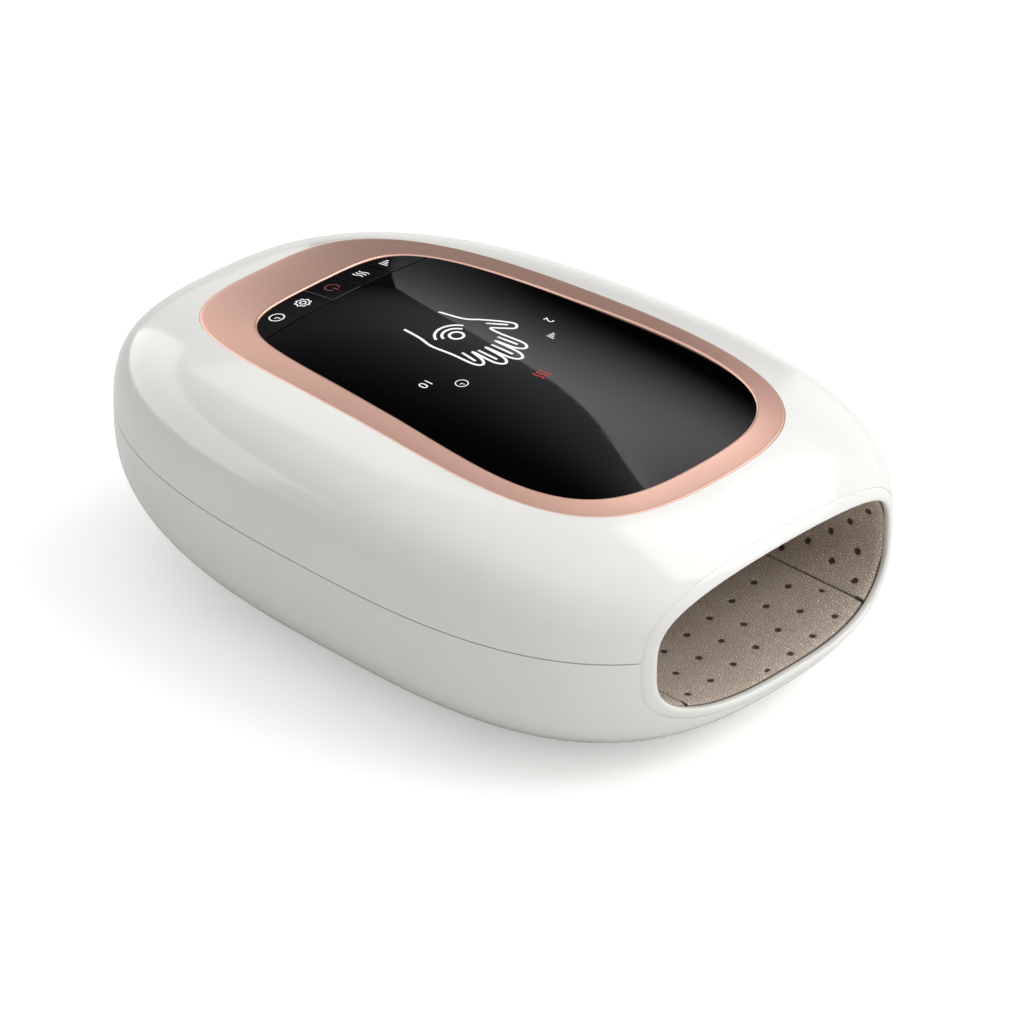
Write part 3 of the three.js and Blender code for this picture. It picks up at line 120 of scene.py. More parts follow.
def crown(x, y):
    share, bend = min(1, plan_share(x, y)), shoulder(x, y, *crown_shoulders)
    dome = (crown_top - rim_height) * max(0, 1 - share ** bend) ** (1 / crown_power)
    fall = crown_fall_across * (x / half_width) ** 2 + crown_fall_along * (y / half_length) ** 2
    return rim_height + dome - fall * (1 - share ** 4)


def belly(x, y):
    share, bend = min(1, plan_share(x, y)), shoulder(x, y, *belly_shoulders)
    depth = belly_depth * max(0, 1 - share ** bend) ** (1 / belly_power)
    lift = rim_height - depth - foot_height
    if lift > belly_soft:
        return foot_height + lift
    return foot_height + (max(0, lift + belly_soft) ** 2) / (4 * belly_soft)


def skin(turn, fall):
    """Point of the housing: turn goes round it from +X, fall from the crown's top (0) to the belly (pi)."""
    power = 2 / (mouth_power if math.sin(turn) < 0 else rear_power)
    side, along = rounded(math.cos(turn), power), rounded(math.sin(turn), power)
    upper = fall <= math.pi / 2
    shoulders, height_power = (crown_shoulders, crown_power) if upper else (belly_shoulders, belly_power)
    bend = shoulder(reach_at(half_length * along) * side, half_length * along, *shoulders)
    share = max(0, 1 - abs(math.cos(fall)) ** height_power) ** (1 / bend)
    y = half_length * along * share
    x = reach_at(y) * side * share
    return Vector((x, y, crown(x, y) if upper else belly(x, y)))


def first_where(low, high, passed):
    """Where passed(value) begins to hold between low and high, found by halving."""
    for _ in range(halvings):
        middle = (low + high) / 2
        low, high = (low, middle) if passed(middle) else (middle, high)
    return high


def fall_where(turn, passed):
    """How far down that line of the housing passed(point) begins to hold."""
    return first_where(0.0, math.pi, lambda fall: passed(skin(turn, fall)))


def turn_of(x, y):
    power = (mouth_power if y < 0 else rear_power) / 2
    return math.atan2(rounded(y / half_length, power), rounded(x / reach_at(y), power))


def front_row(x, z):
    """The housing's front at that place across and up."""
    return first_where(-half_length, 0.0, lambda y: plan_share(x, y) < 1 and belly(x, y) < z < crown(x, y))


def outline(plan, angle, grow=0.0):
    """Point of the ring's or the pane's outline, seen from above."""
    reach, length, centre, taper, front, rear = plan
    power = 2 / (front if math.sin(angle) < 0 else rear)
    along = rounded(math.sin(angle), power)
    across = (reach * (1 + taper * along) + grow) * rounded(math.cos(angle), power)
    return Vector((across, centre + (length + grow) * along))


def within(plan, x, y, grow):
    """Whether the place lies inside the outline, seen from above."""
    reach, length, centre, taper, front, rear = plan
    along = (y - centre) / (length + grow)
    power = front if along < 0 else rear
    return (abs(x) / (reach * (1 + taper * along) + grow)) ** power + abs(along) ** power < 1


def mouth_outline(angle, half_across, half_up):
    """Across and up on a rounded opening about the mouth's axis."""
    power = 2 / mouth_roundness
    up = mouth_height + half_up * rounded(math.sin(angle), power)
    return half_across * rounded(math.cos(angle), power), up


weld_distance, sliver = 0.002, 0.0005


def laid(columns, rows, spot, centre=None):
    """A flat grid bent to the surface that spot(u, v) gives. With a centre, its faces look away from it."""
    sheet = bmesh.new()
    bmesh.ops.create_grid(sheet, x_segments=columns, y_segments=rows, size=0.5)
    for vertex in sheet.verts:
        vertex.co = spot(vertex.co.x + 0.5, vertex.co.y + 0.5)
    bmesh.ops.remove_doubles(sheet, verts=sheet.verts, dist=weld_distance)
    bmesh.ops.dissolve_degenerate(sheet, dist=sliver, edges=sheet.edges)
    if centre is None:
        bmesh.ops.recalc_face_normals(sheet, faces=sheet.faces)
    else:
        sheet.normal_update()
        centre = Vector(centre)
        facing = 0
        for face in sheet.faces:
            facing += face.normal.dot(face.calc_center_median() - centre) * face.calc_area()
        if facing < 0:
            bmesh.ops.reverse_faces(sheet, faces=sheet.faces)
    return sheet


to_frame = Matrix.Translation((0, drawing_shift / 1000, 0)) @ Matrix.Scale(0.001, 4)


def made(name, sheet, finish, body, replaced=()):
    """The piece as an object in the shared frame, in metres, riding on its body. A soft piece between two
    bodies gives both, and where it leaves the first and reaches the second; these are not used, and it rides
    on no body."""
    bmesh.ops.transform(sheet, matrix=to_frame, verts=sheet.verts)
    mesh = bpy.data.meshes.new(name)
    sheet.to_mesh(mesh)
    sheet.free()
    mesh.shade_smooth()
    mesh.materials.append(finish)
    item = bpy.data.objects.new(name, mesh)
    bpy.context.scene.collection.objects.link(item)
    if isinstance(body, str):
        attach(item, body)
    else:
        first, second, start, end = body
        to_frame @ Vector(start)
        to_frame @ Vector(end)
        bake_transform(item)
    if replaced:
        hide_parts(*replaced)
    return item


def walled(item, thickness, edge):
    """A wall grown inwards from the skin, with its edges eased as a mould leaves them."""
    solidify = item.modifiers.new("wall", "SOLIDIFY")
    solidify.thickness, solidify.offset, solidify.use_even_offset = thickness / 1000, -1, False
    eased(item, edge)


def eased(item, edge, steps=2):
    """Rounds every edge sharper than 40 degrees; edge is the width of the rounding."""
    bevel = item.modifiers.new("eased_edges", "BEVEL")
    bevel.width, bevel.segments, bevel.limit_method = edge / 1000, steps, "ANGLE"
    bevel.angle_limit, bevel.harden_normals, bevel.profile = math.radians(40), True, 0.5


def paint(code):
    """An sRGB hex colour as linear values."""
    parts = [int(code[i:i + 2], 16) / 255 for i in (1, 3, 5)]
    return [(c / 12.92 if c <= 0.04045 else ((c + 0.055) / 1.055) ** 2.4) for c in parts] + [1.0]


def add(tree, kind, inputs=None, **settings):
    """Adds a node with its settings and links, and returns it. A node given as an input stands for its first
    result."""
    node = tree.nodes.new(kind)
    for key, value in settings.items():
        setattr(node, key, value)
    for key, value in (inputs or {}).items():
        if isinstance(value, bpy.types.Node):
            value = next(result for result in value.outputs if result.enabled)
        if isinstance(value, bpy.types.NodeSocket):
            tree.links.new(value, node.inputs[key])
        else:
            node.inputs[key].default_value = value
    return node


def finish_named(name, build):
    """A material whose surface build(tree, place) makes; place is the piece's own Object coordinates."""
    material = bpy.data.materials.new(name)
    material.use_nodes = True
    tree = material.node_tree
    tree.nodes.clear()
    place = add(tree, "ShaderNodeTexCoord").outputs["Object"]
    add(tree, "ShaderNodeOutputMaterial", {"Surface": build(tree, place)})
    return material


def polished_abs(tree, place):
    # Flow of the melt leaves swells about 14 mm long and a few hundredths deep, which make the long
    # highlights waver slightly; handling leaves faint dull patches.
    swell = add(tree, "ShaderNodeTexNoise", {"Vector": place, "Scale": 70.0, "Detail": 1.0})
    haze = add(tree, "ShaderNodeTexNoise", {"Vector": place, "Scale": 190.0, "Detail": 4.0})
    rough = add(tree, "ShaderNodeMapRange", {0: haze, 1: 0.3, 2: 0.75, 3: 0.13, 4: 0.19})
    tint = add(tree, "ShaderNodeMapRange", {0: swell, 1: 0.3, 2: 0.7, 3: 0.0, 4: 1.0})
    colour = add(tree, "ShaderNodeMix", {0: tint, 6: paint("#EBEAE6"), 7: paint("#EDECE9")}, data_type="RGBA")
    bump = add(tree, "ShaderNodeBump", {"Height": swell, "Strength": 0.03, "Distance": 0.001})
    return add(tree, "ShaderNodeBsdfPrincipled", {
        "Base Color": colour, "Roughness": rough, "IOR": 1.53, "Normal": bump,
        "Coat Weight": 0.25, "Coat Roughness": 0.05,
    })


white_abs = finish_named("polished_abs", polished_abs)

parting_top, parting_bottom = parting_height + parting_gap / 2, parting_height - parting_gap / 2
mouth_fit, ring_fit = 0.06, 0.12
shell_rim_edge, shell_middle = 0.3, (0, 0, 40)
fine_steps = 160
mouth_steps, corner_steps, rear_steps, corner_turn = 40, 24, 64, 0.45
front_steps = mouth_steps + corner_steps
shell_columns = 2 * (front_steps + rear_steps)


def even_cuts(places, count):
    """Cuts the line through the places to equal steps. Gives, for each cut, the number of the place before it
    and the share of the way to the next one, and then the line's length."""
    run = [0.0]
    for start, end in zip(places, places[1:]):
        run.append(run[-1] + (end - start).length)
    cuts, j = [], 0
    for i in range(count + 1):
        goal = run[-1] * i / count
        while j < len(run) - 2 and run[j + 1] < goal:
            j += 1
        cuts.append((j, min(1, (goal - run[j]) / max(1e-9, run[j + 1] - run[j]))))
    return cuts, run[-1]


def evenly(line, count):
    """A fine line of (turn, fall) pairs taken again at even steps along the housing's surface."""
    cuts, _ = even_cuts([skin(*pair) for pair in line], count)
    return [tuple(mixed(a, b, share) for a, b in zip(line[j], line[j + 1])) for j, share in cuts]


def mouth_edge(height, sign):
    """The bezel's outline on the housing, from its middle above (sign 1) or below (-1) to the end of the
    parting line."""
    half_across, half_up = bezel_half_width + mouth_fit, bezel_half_height + mouth_fit
    last = math.asin(rounded((height - mouth_height) / half_up, mouth_roundness / 2))
    line = []
    for i in range(fine_steps + 1):
        angle = mixed(sign * math.pi / 2, last, (i / fine_steps) ** 0.8)
        x, z = mouth_outline(angle, half_across, half_up)
        turn = turn_of(x, front_row(x, z))
        line.append((turn, fall_where(turn, lambda p: p.z < z)))
    return line


def turns_between(start, end, count=fine_steps):
    return [mixed(start, end, i / count) for i in range(count + 1)]


def parting_edge(start, end, height):
    turns = turns_between(start, end)
    return [(turn, fall_where(turn, lambda p: p.z < height)) for turn in turns]


def shell_edge(height, sign):
    """A shell's edge on the right-hand side: along the bezel, then along the parting line to the rear."""
    mouth = mouth_edge(height, sign)
    corner = mouth[-1][0]
    side = parting_edge(corner, corner + corner_turn, height)
    rear = parting_edge(corner + corner_turn, math.pi / 2, height)
    return evenly(mouth, mouth_steps)[:-1] + evenly(side, corner_steps)[:-1] + evenly(rear, rear_steps)


def both_sides(line):
    """The right-hand line and its mirror image, as one line round the housing."""
    return line + [(math.pi - turn, fall) for turn, fall in reversed(line[:-1])]


def seat_edge(turns):
    """The edge of the ring's seat, on those lines of the housing."""
    return [(turn, fall_where(turn, lambda p: not within(ring_plan, p.x, p.y, ring_fit))) for turn in turns]


def skin_between(first, last):
    """The housing's surface from one line of (turn, fall) pairs to another, with a pair for each column."""
    def spot(u, v):
        column = round(u * shell_columns)
        (turn, fall), (last_turn, last_fall) = first[column], last[column]
        return skin(mixed(turn, last_turn, v), mixed(fall, last_fall, v))
    return spot


upper_rim = shell_edge(parting_top, 1)
upper_seat = evenly(seat_edge(turns_between(-math.pi / 2, upper_rim[front_steps][0])), front_steps)
upper_seat += seat_edge([turn for turn, _ in upper_rim[front_steps + 1:]])
crown_skin = skin_between(both_sides(upper_seat), both_sides(upper_rim))
crown_sheet = laid(shell_columns, 32, crown_skin, shell_middle)
upper_shell = made("upper_shell_skin", crown_sheet, white_abs, "housing", ["upper_shell"])
walled(upper_shell, wall, shell_rim_edge)

# ---- Lower shell
# The real piece is the same polished ABS. Its tongue stands behind the parting line, four deep bores
# in its belly take the case screws, and the charging socket shows in a slot at the rear.
screw_places = [(-62, -52), (62, -52), (-62, 52), (62, 52)]
screw_bore, screw_boss, screw_seat, boss_root = 3.2, 5.2, 42.0, 0.9
foot_recess, foot_recess_top, underneath = 6.7, 2.95, -5
charge_slot, charge_height, charge_rows = (10.6, 5.2), 34, (115, 135)
tongue_start, tongue_inset, tongue_reach, tongue_thickness = 0.72, 1.3, 2.5, 0.9


def posts(radius, high, places, low_at):
    """Upright round posts at the places, as one mesh. low_at(x, y) gives the height of their lower ends."""
    rods = bmesh.new()
    for x, y in places:
        shaft = bmesh.ops.create_cone(
            rods, cap_ends=True, segments=40, radius1=radius, radius2=radius, depth=1,
        )
        for vertex in shaft["verts"]:
            across, along = x + vertex.co.x, y + vertex.co.y
            vertex.co = (across, along, high if vertex.co.z > 0 else low_at(across, along))
    return rods


def mesh_of(item):
    """The piece's mesh as its modifiers or its curve leave it."""
    bpy.context.view_layer.update()
    return bpy.data.meshes.new_from_object(item.evaluated_get(bpy.context.evaluated_depsgraph_get()))


def worked(item, tool, operation):
    """Cuts the tool's shape out of the piece, or joins it on, and keeps the result as the piece's mesh."""
    bmesh.ops.transform(tool, matrix=to_frame, verts=tool.verts)
    mesh = bpy.data.meshes.new("tool")
    tool.to_mesh(mesh)
    tool.free()
    cutter = bpy.data.objects.new("tool", mesh)
    bpy.context.scene.collection.objects.link(cutter)
    cut = item.modifiers.new("cut", "BOOLEAN")
    cut.operation, cut.object, cut.solver = operation, cutter, "EXACT"
    result = mesh_of(item)
    item.modifiers.clear()
    item.data = result
    bpy.data.objects.remove(cutter)
    bpy.data.meshes.remove(mesh)


def slot_tool(size, low, high, z):
    """A rounded slot along Y, for the charging socket."""
    width, height = size
    tool = bmesh.new()
    bmesh.ops.create_circle(tool, cap_ends=True, segments=48, radius=1)
    for vertex in tool.verts:
        angle = math.atan2(vertex.co.y, vertex.co.x)
        up = z + height / 2 * rounded(math.sin(angle), 0.6)
        vertex.co = (width / 2 * rounded(math.cos(angle), 0.45), low, up)
    pushed = bmesh.ops.extrude_face_region(tool, geom=tool.faces[:])
    far_end = [v for v in pushed["geom"] if isinstance(v, bmesh.types.BMVert)]
    bmesh.ops.translate(tool, vec=(0, high - low, 0), verts=far_end)
    bmesh.ops.recalc_face_normals(tool, faces=tool.faces)
    return tool


lower_rim = shell_edge(parting_bottom, -1)
lower_pole = [(turn, math.pi) for turn in turns_between(-math.pi / 2, lower_rim[front_steps][0], front_steps)]
lower_pole += [(turn, math.pi) for turn, _ in lower_rim[front_steps + 1:]]
belly_skin = skin_between(both_sides(lower_rim), both_sides(lower_pole))
belly_sheet = laid(shell_columns, 36, belly_skin, shell_middle)
lower_shell = made("lower_shell_skin", belly_sheet, white_abs, "housing", ["lower_shell"])
walled(lower_shell, wall, shell_rim_edge)
bosses = posts(screw_boss, screw_seat, screw_places, lambda x, y: belly(x, y) + boss_root)
worked(lower_shell, bosses, "UNION")
worked(lower_shell, posts(screw_bore, screw_seat + 1, screw_places, lambda x, y: underneath), "DIFFERENCE")
feet = [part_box(f"foot_{i + 1}") for i in range(4)]
foot_places = [(500 * (low.x + high.x), 500 * (low.y + high.y) - drawing_shift) for low, high in feet]
worked(lower_shell, posts(foot_recess, foot_recess_top, foot_places, lambda x, y: underneath), "DIFFERENCE")
worked(lower_shell, slot_tool(charge_slot, *charge_rows, charge_height), "DIFFERENCE")
lower_shell.data.shade_smooth()


def tongue(u, v):
    """A band behind the parting line, from one side of the mouth round the rear to the other."""
    turn = mixed(-math.pi / 2 + tongue_start, 1.5 * math.pi - tongue_start, u)
    point = skin(turn, fall_where(turn, lambda p: p.z < parting_height))
    inner = point.xy * (1 - tongue_inset / point.xy.length)
    return Vector((inner.x, inner.y, mixed(parting_height - tongue_reach, parting_height + tongue_reach, v)))


tongue_sheet = laid(180, 2, tongue, (0, 0, parting_height))
walled(made("parting_tongue", tongue_sheet, white_abs, "housing"), tongue_thickness, edge=0.1)

# ---- Mouth bezel
# The real piece is a separate ABS moulding, snapped into the front: a lip rolled out of the housing's
# own surface, and a skirt behind it that holds the leather's edge. It is polished like the shells.
lip_half_width, lip_half_height = 51.7, 20.5
lip_crest, lip_roll, lip_proud, skirt_depth = 0.42, 1.9, 0.05, 12.5
lip_section = [
    (0, 2.4), (0, 0.5), (0.03, 0.22), (0.09, 0.03), (0.18, -0.1), (0.3, -0.12), (lip_crest, -lip_proud),
]
for step in range(1, 13):
    bend = step * math.pi / 24
    rolled_in = lip_roll * (1 - math.cos(bend)) ** 1.1
    lip_section.append((mixed(lip_crest, 1, math.sin(bend)), rolled_in - lip_proud))
lip_section += [(1.0, 2.6), (0.97, 2.8), (0.3, 3.0), (0.28, skirt_depth), (0, skirt_depth)]


def lip(u, v):
    """The lip's section, as a share of the way in from the bezel's outline and a depth behind the front."""
    angle = 2 * math.pi * u
    share, depth = lip_section[round(v * len(lip_section)) % len(lip_section)]
    ox, oz = mouth_outline(angle, bezel_half_width, bezel_half_height)
    ix, iz = mouth_outline(angle, lip_half_width, lip_half_height)
    x, z = mixed(ox, ix, share), mixed(oz, iz, share)
    return Vector((x, front_row(x, z) + depth, z))


made("mouth_lip", laid(240, len(lip_section), lip), white_abs, "housing", ["mouth_bezel"])

# ---- Trim ring
# The real piece is aluminium, drawn to a very shallow dish, bead blasted and anodised rose gold. It drops
# into its seat in the upper shell, its outer edge flush; its inner edge is cut bright, down to the pane.
ring_cut, ring_sunk, ring_dish, ring_depth = 0.7, 0.06, 0.4, 3.6
ring_face = [(0, 0, ring_depth), (0, 0, 0.35), (0, 0.1, 0.12), (0, 0.3, ring_sunk)]
for share in (0.08, 0.16, 0.28, 0.4, 0.52, 0.64, 0.76, 0.88, 0.96):
    ring_face.append((share, 0, ring_sunk + ring_dish * (1 - (1 - share) ** 2)))
ring_face += [(1, 0, 0.46), (1, 0.12, 0.48), (1, 0.28, 0.55), (1, 0.5, 0.7)]
ring_face += [(1, ring_cut, 0.9), (1, ring_cut, ring_depth)]


def ring(u, v):
    """The ring's section, as a share of its face, a further step in and a depth below the crown: a shallow
    face, then a diamond-cut edge as wide as ring_cut, down to the pane."""
    angle = 2 * math.pi * u
    share, further, depth = ring_face[round(v * len(ring_face)) % len(ring_face)]
    outer, inner = outline(ring_plan, angle), outline(pane_plan, angle)
    width = (inner - outer).length
    point = outer.lerp(inner, (share * (width - ring_cut) + further) / width)
    return Vector((point.x, point.y, crown(point.x, point.y) - depth))


def rose_anodised(tree, place):
    # Bead blasting leaves a grain of about 0.15 mm, drawn here at 0.4 mm so that it still shows;
    # it spreads every reflection into a soft satin glow. The dye sits a little unevenly over 20 mm or so.
    grit = add(tree, "ShaderNodeTexNoise", {"Vector": place, "Scale": 2500.0, "Detail": 1.0})
    cloud = add(tree, "ShaderNodeTexNoise", {"Vector": place, "Scale": 45.0, "Detail": 2.0})
    colour = add(tree, "ShaderNodeMix", {0: cloud, 6: paint("#DDB2A1"), 7: paint("#E0B6A7")},
                 data_type="RGBA")
    rough = add(tree, "ShaderNodeMapRange", {0: grit, 1: 0.3, 2: 0.7, 3: 0.38, 4: 0.43})
    return add(tree, "ShaderNodeBsdfPrincipled", {
        "Base Color": colour, "Metallic": 1.0, "Roughness": rough,
    })


rose_gold = finish_named("anodised_aluminium_rose", rose_anodised)
made("trim_ring_band", laid(224, len(ring_face), ring), rose_gold, "housing", ["trim_ring"])

# ---- Display pane
# The real piece is 1.4 mm acrylic, smoked black on its back and hard coated, bonded to the tray just
# below the ring's inner edge. It is pressed to one smooth swell, close to the crown's, so that it mirrors
# cleanly. The keys close its rear end.
pane_dip, pane_thickness = 0.9, 1.4
key_line, key_gap, pane_clearance = 57.6, 0.5, 0.2
swell_unit = 50
swell_spine = (87.02, 0.237, -1.644, 0.238, -0.3285)
swell_fall = (2.918, 1.673, -0.69, -0.014)
swell_far_fall = (1.1925, -1.892)


def series(factors, along):
    return sum(factor * along ** power for power, factor in enumerate(factors))


def pane_top(x, y):
    """Height of the pane's swell: a spine along its middle, and how fast it falls off to the sides."""
    across, along = (x / swell_unit) ** 2, y / swell_unit
    fallen = series(swell_fall, along) * across + series(swell_far_fall, along) * across ** 2
    return series(swell_spine, along) - fallen - pane_dip


def pane_sheet():
    def spot(u, v):
        edge = outline(pane_plan, 2 * math.pi * u, -pane_clearance)
        centre = Vector((0, pane_plan[2]))
        point = centre.lerp(edge, v ** 0.8)
        return Vector((point.x, point.y, pane_top(point.x, point.y)))
    return laid(192, 36, spot, (0, 0, 0))


def kept(sheet, point, normal):
    """Cuts the sheet at a plane and keeps the side that the normal points away from."""
    everything = sheet.verts[:] + sheet.edges[:] + sheet.faces[:]
    bmesh.ops.bisect_plane(
        sheet, geom=everything, dist=sliver, plane_co=point, plane_no=normal, clear_outer=True,
    )
    return sheet


def smoked_acrylic(tree, place):
    # Hard-coated acrylic mirrors the studio sharply; fine wiping marks a few tenths of a millimetre
    # wide dull it here and there.
    wipes = add(tree, "ShaderNodeTexNoise", {"Vector": place, "Scale": 260.0, "Detail": 5.0})
    rough = add(tree, "ShaderNodeMapRange", {0: wipes, 1: 0.35, 2: 0.8, 3: 0.015, 4: 0.045})
    return add(tree, "ShaderNodeBsdfPrincipled", {
        "Base Color": paint("#030304"), "Roughness": rough, "IOR": 1.49,
    })


black_pane = finish_named("smoked_acrylic", smoked_acrylic)
glass = kept(pane_sheet(), (0, key_line - key_gap / 2, 0), (0, 1, 0))
display_pane = made("display_glass", glass, black_pane, "housing", ["display_pane"])
walled(display_pane, pane_thickness, edge=0.15)

# ---- Keys
# The real pieces are five caps of the same acrylic on stems, each over its push switch. They are
# dulled a little so that the finger finds them, with a fine gap all round.
key_pitch, end_key, past_pane = 12.7, 24, 80
key_names = ["timer_key", "mode_key", "power_key", "heat_key", "strength_key"]
key_edges = [-past_pane, -1.5 * key_pitch, -0.5 * key_pitch, 0.5 * key_pitch, 1.5 * key_pitch, past_pane]
key_places = [-end_key, -key_pitch, 0, key_pitch, end_key]
key_thickness, stem_width, stem_length, stem_overlap = 1.0, 3, 4, 0.1
stem_row, stem_bottom = 62.6, 75.3


def etched_cap(tree, place):
    # The caps are etched: a grain of about 0.1 mm, drawn at 0.3 mm, greys the black slightly.
    etch = add(tree, "ShaderNodeTexNoise", {"Vector": place, "Scale": 3300.0, "Detail": 1.0})
    rough = add(tree, "ShaderNodeMapRange", {0: etch, 1: 0.3, 2: 0.7, 3: 0.06, 4: 0.1})
    return add(tree, "ShaderNodeBsdfPrincipled", {
        "Base Color": paint("#0D0D0F"), "Roughness": rough, "IOR": 1.49,
    })


black_key = finish_named("etched_acrylic", etched_cap)
for index, key_name in enumerate(key_names):
    cap = kept(pane_sheet(), (0, key_line + key_gap / 2, 0), (0, -1, 0))
    cap = kept(cap, (key_edges[index] + key_gap / 2, 0, 0), (-1, 0, 0))
    cap = kept(cap, (key_edges[index + 1] - key_gap / 2, 0, 0), (1, 0, 0))
    key = made(f"{key_name}_cap", cap, black_key, key_name, [key_name])
    walled(key, key_thickness, edge=0.2)
    stem = bmesh.new()
    bmesh.ops.create_cube(stem, size=1)
    top = pane_top(key_places[index], stem_row) - (key_thickness - stem_overlap)
    bmesh.ops.scale(stem, vec=(stem_width, stem_length, top - stem_bottom), verts=stem.verts)
    bmesh.ops.translate(stem, vec=(key_places[index], stem_row, (top + stem_bottom) / 2), verts=stem.verts)
    eased(made(f"{key_name}_stem", stem, black_key, key_name), edge=0.3)

# ---- Figures on the pane and the keys
# The real figures are printed in white and red on the back of the acrylic and lit from below by lamp
# blocks. They are drawn as flat strokes of even width, a few hundredths of a millimetre proud.
print_height, print_crest, flattening = 0.04, 0.02, 0.1
icon_row, icon_stroke, hand_stroke = 64.3, 0.46, 0.9
figure_row, figure_size = 1.5, 4.6


def lit_ink(code, glow):
    def build(tree, place):
        # Screen-printed ink is slightly uneven, with a mesh of about 0.1 mm, drawn at 0.3 mm.
        mesh = add(tree, "ShaderNodeTexNoise", {"Vector": place, "Scale": 3300.0, "Detail": 0.0})
        level = add(tree, "ShaderNodeMapRange", {0: mesh, 1: 0.3, 2: 0.7, 3: 0.55, 4: 0.75})
        return add(tree, "ShaderNodeBsdfPrincipled", {
            "Base Color": paint(code), "Roughness": level,
            "Emission Color": paint(code), "Emission Strength": glow,
        })
    return build


white_ink = finish_named("lit_white_ink", lit_ink("#E9E9EC", 0.35))
red_ink = finish_named("lit_red_ink", lit_ink("#B3202C", 0.35))
dark_red_ink = finish_named("dark_red_ink", lit_ink("#7E2026", 0.1))


def arc(x, y, radius, start=0, end=360, steps=24):
    angles = [math.radians(mixed(start, end, i / steps)) for i in range(steps + 1)]
    return [(x + radius * math.cos(a), y + radius * math.sin(a)) for a in angles]


def drawn(name, strokes, width, place, finish, body):
    """Strokes of even width on the pane. A stroke is a list of points, closed if it ends where it starts.
    The figures are read from the rear, so they stand turned half round."""
    curve = bpy.data.curves.new(name, "CURVE")
    curve.dimensions = "3D"
    curve.bevel_depth, curve.bevel_resolution, curve.use_fill_caps = width / 2, 2, True
    for points in strokes:
        closed = (Vector(points[0]) - Vector(points[-1])).length < 0.01
        line = curve.splines.new("POLY")
        shown = points[:-1] if closed else points
        line.points.add(len(shown) - 1)
        for knot, (x, y) in zip(line.points, shown):
            knot.co = (x, y, 0, 1)
        line.use_cyclic_u = closed
    return settled(name, curve, place, finish, body)


def settled(name, curve, place, finish, body):
    """A curve or text made a mesh, flattened and laid on the pane."""
    holder = bpy.data.objects.new(name, curve)
    bpy.context.scene.collection.objects.link(holder)
    mesh = mesh_of(holder)
    bpy.data.objects.remove(holder)
    sheet = bmesh.new()
    sheet.from_mesh(mesh)
    bpy.data.meshes.remove(mesh)
    bmesh.ops.remove_doubles(sheet, verts=sheet.verts, dist=weld_distance)
    for vertex in sheet.verts:
        x, y = place[0] - vertex.co.x, place[1] - vertex.co.y
        raised = max(-print_height, min(print_crest, vertex.co.z * flattening))
        vertex.co = (x, y, pane_top(x, y) + print_height + raised)
    return made(name, sheet, finish, body)


def clock(size):
    return [arc(0, 0, size), [(0, size * 0.62), (0, 0), (size * 0.45, 0)]]


def waves(size):
    def wave(x):
        return [(x * size + 0.16 * size * math.sin(t * 0.63), (t / 10 - 0.5) * 1.9 * size) for t in range(11)]
    return [wave(x) for x in (-0.62, 0, 0.62)]


def cog(size):
    teeth = []
    for i in range(33):
        radius = size * (1.0 if (i // 2) % 2 == 0 else 0.78)
        teeth.append((radius * math.cos(i * math.pi / 16), radius * math.sin(i * math.pi / 16)))
    return [teeth, arc(0, 0, size * 0.38)]


def bars(size):
    tops = ((-0.75, -0.25), (-0.25, 0.15), (0.25, 0.5), (0.75, 0.9))
    return [[(x * size, -0.8 * size), (x * size, top * size)] for x, top in tops]


power_sign = [arc(0, 0, 2.2, 125, 415), [(0, 0.4), (0, 2.9)]]
key_icons = [clock(2.3), cog(2.5), power_sign, waves(2.2), bars(2.1)]
for key_name, icon, across in zip(key_names, key_icons, key_places):
    ink = dark_red_ink if icon is power_sign else white_ink
    drawn(f"{key_name}_icon", icon, icon_stroke, (across, icon_row), ink, key_name)

drawn("pane_clock_icon", clock(1.9), 0.35, (-20, -8), white_ink, "housing")
drawn("pane_bars_icon", bars(1.7), 0.4, (20, -8), white_ink, "housing")
drawn("pane_heat_icon", waves(2.3), 0.5, (0, -21.7), red_ink, "housing")

for text, across in (("10", -27), ("2", 27)):
    writing = bpy.data.curves.new(f"figure_{text}", "FONT")
    writing.body, writing.size, writing.align_x, writing.extrude = text, figure_size, "CENTER", 0.05
    settled(f"figure_{text}", writing, (across, figure_row), white_ink, "housing")

hand_outline = [
    (-7.5, -19.5), (-9.2, -11), (-12.5, -6.5), (-16.2, -1), (-17.6, 2.6), (-15.4, 4.4), (-12.6, 1.6),
    (-10.2, -0.8), (-9.7, 4), (-10.2, 12.6), (-8.3, 15.2), (-6.2, 12.8), (-5.2, 5.6), (-4.9, 15.6),
    (-2.8, 18.6), (-0.7, 15.8), (-0.3, 6.2), (0.7, 14.6), (2.8, 17.2), (4.7, 14.4), (4.4, 5.4), (6, 10.8),
    (8, 12.8), (9.6, 10.4), (9.6, 2), (10, -6), (8.6, -12), (7.6, -19.5),
]


def smooth_path(points, steps=6):
    """A rounded line through the points."""
    path = []
    ends = [Vector(point) for point in [points[0], *points, points[-1]]]
    for a, b, c, d in zip(ends, ends[1:], ends[2:], ends[3:]):
        bent, twisted = 2 * a - 5 * b + 4 * c - d, 3 * b - a - 3 * c + d
        for i in range(steps):
            t = i / steps
            path.append(tuple(0.5 * (2 * b + (c - a) * t + bent * t ** 2 + twisted * t ** 3)))
    return path + [points[-1]]


drawn("hand_figure", [
    smooth_path(hand_outline),
    arc(0.2, -5, 2.2), arc(0.2, -5, 4.4, 200, 340), arc(0.2, -5, 6.6, 205, 335),
    [(-7.6, 4.5), (-8.2, 12)], [(-2.7, 6.5), (-2.8, 15)], [(2.6, 6), (2.8, 13.8)], [(6.9, 3.5), (7.9, 9.8)],
    [(-15.6, 1.4), (-11.6, -4)],
], hand_stroke, (0, 7.5), white_ink, "housing")

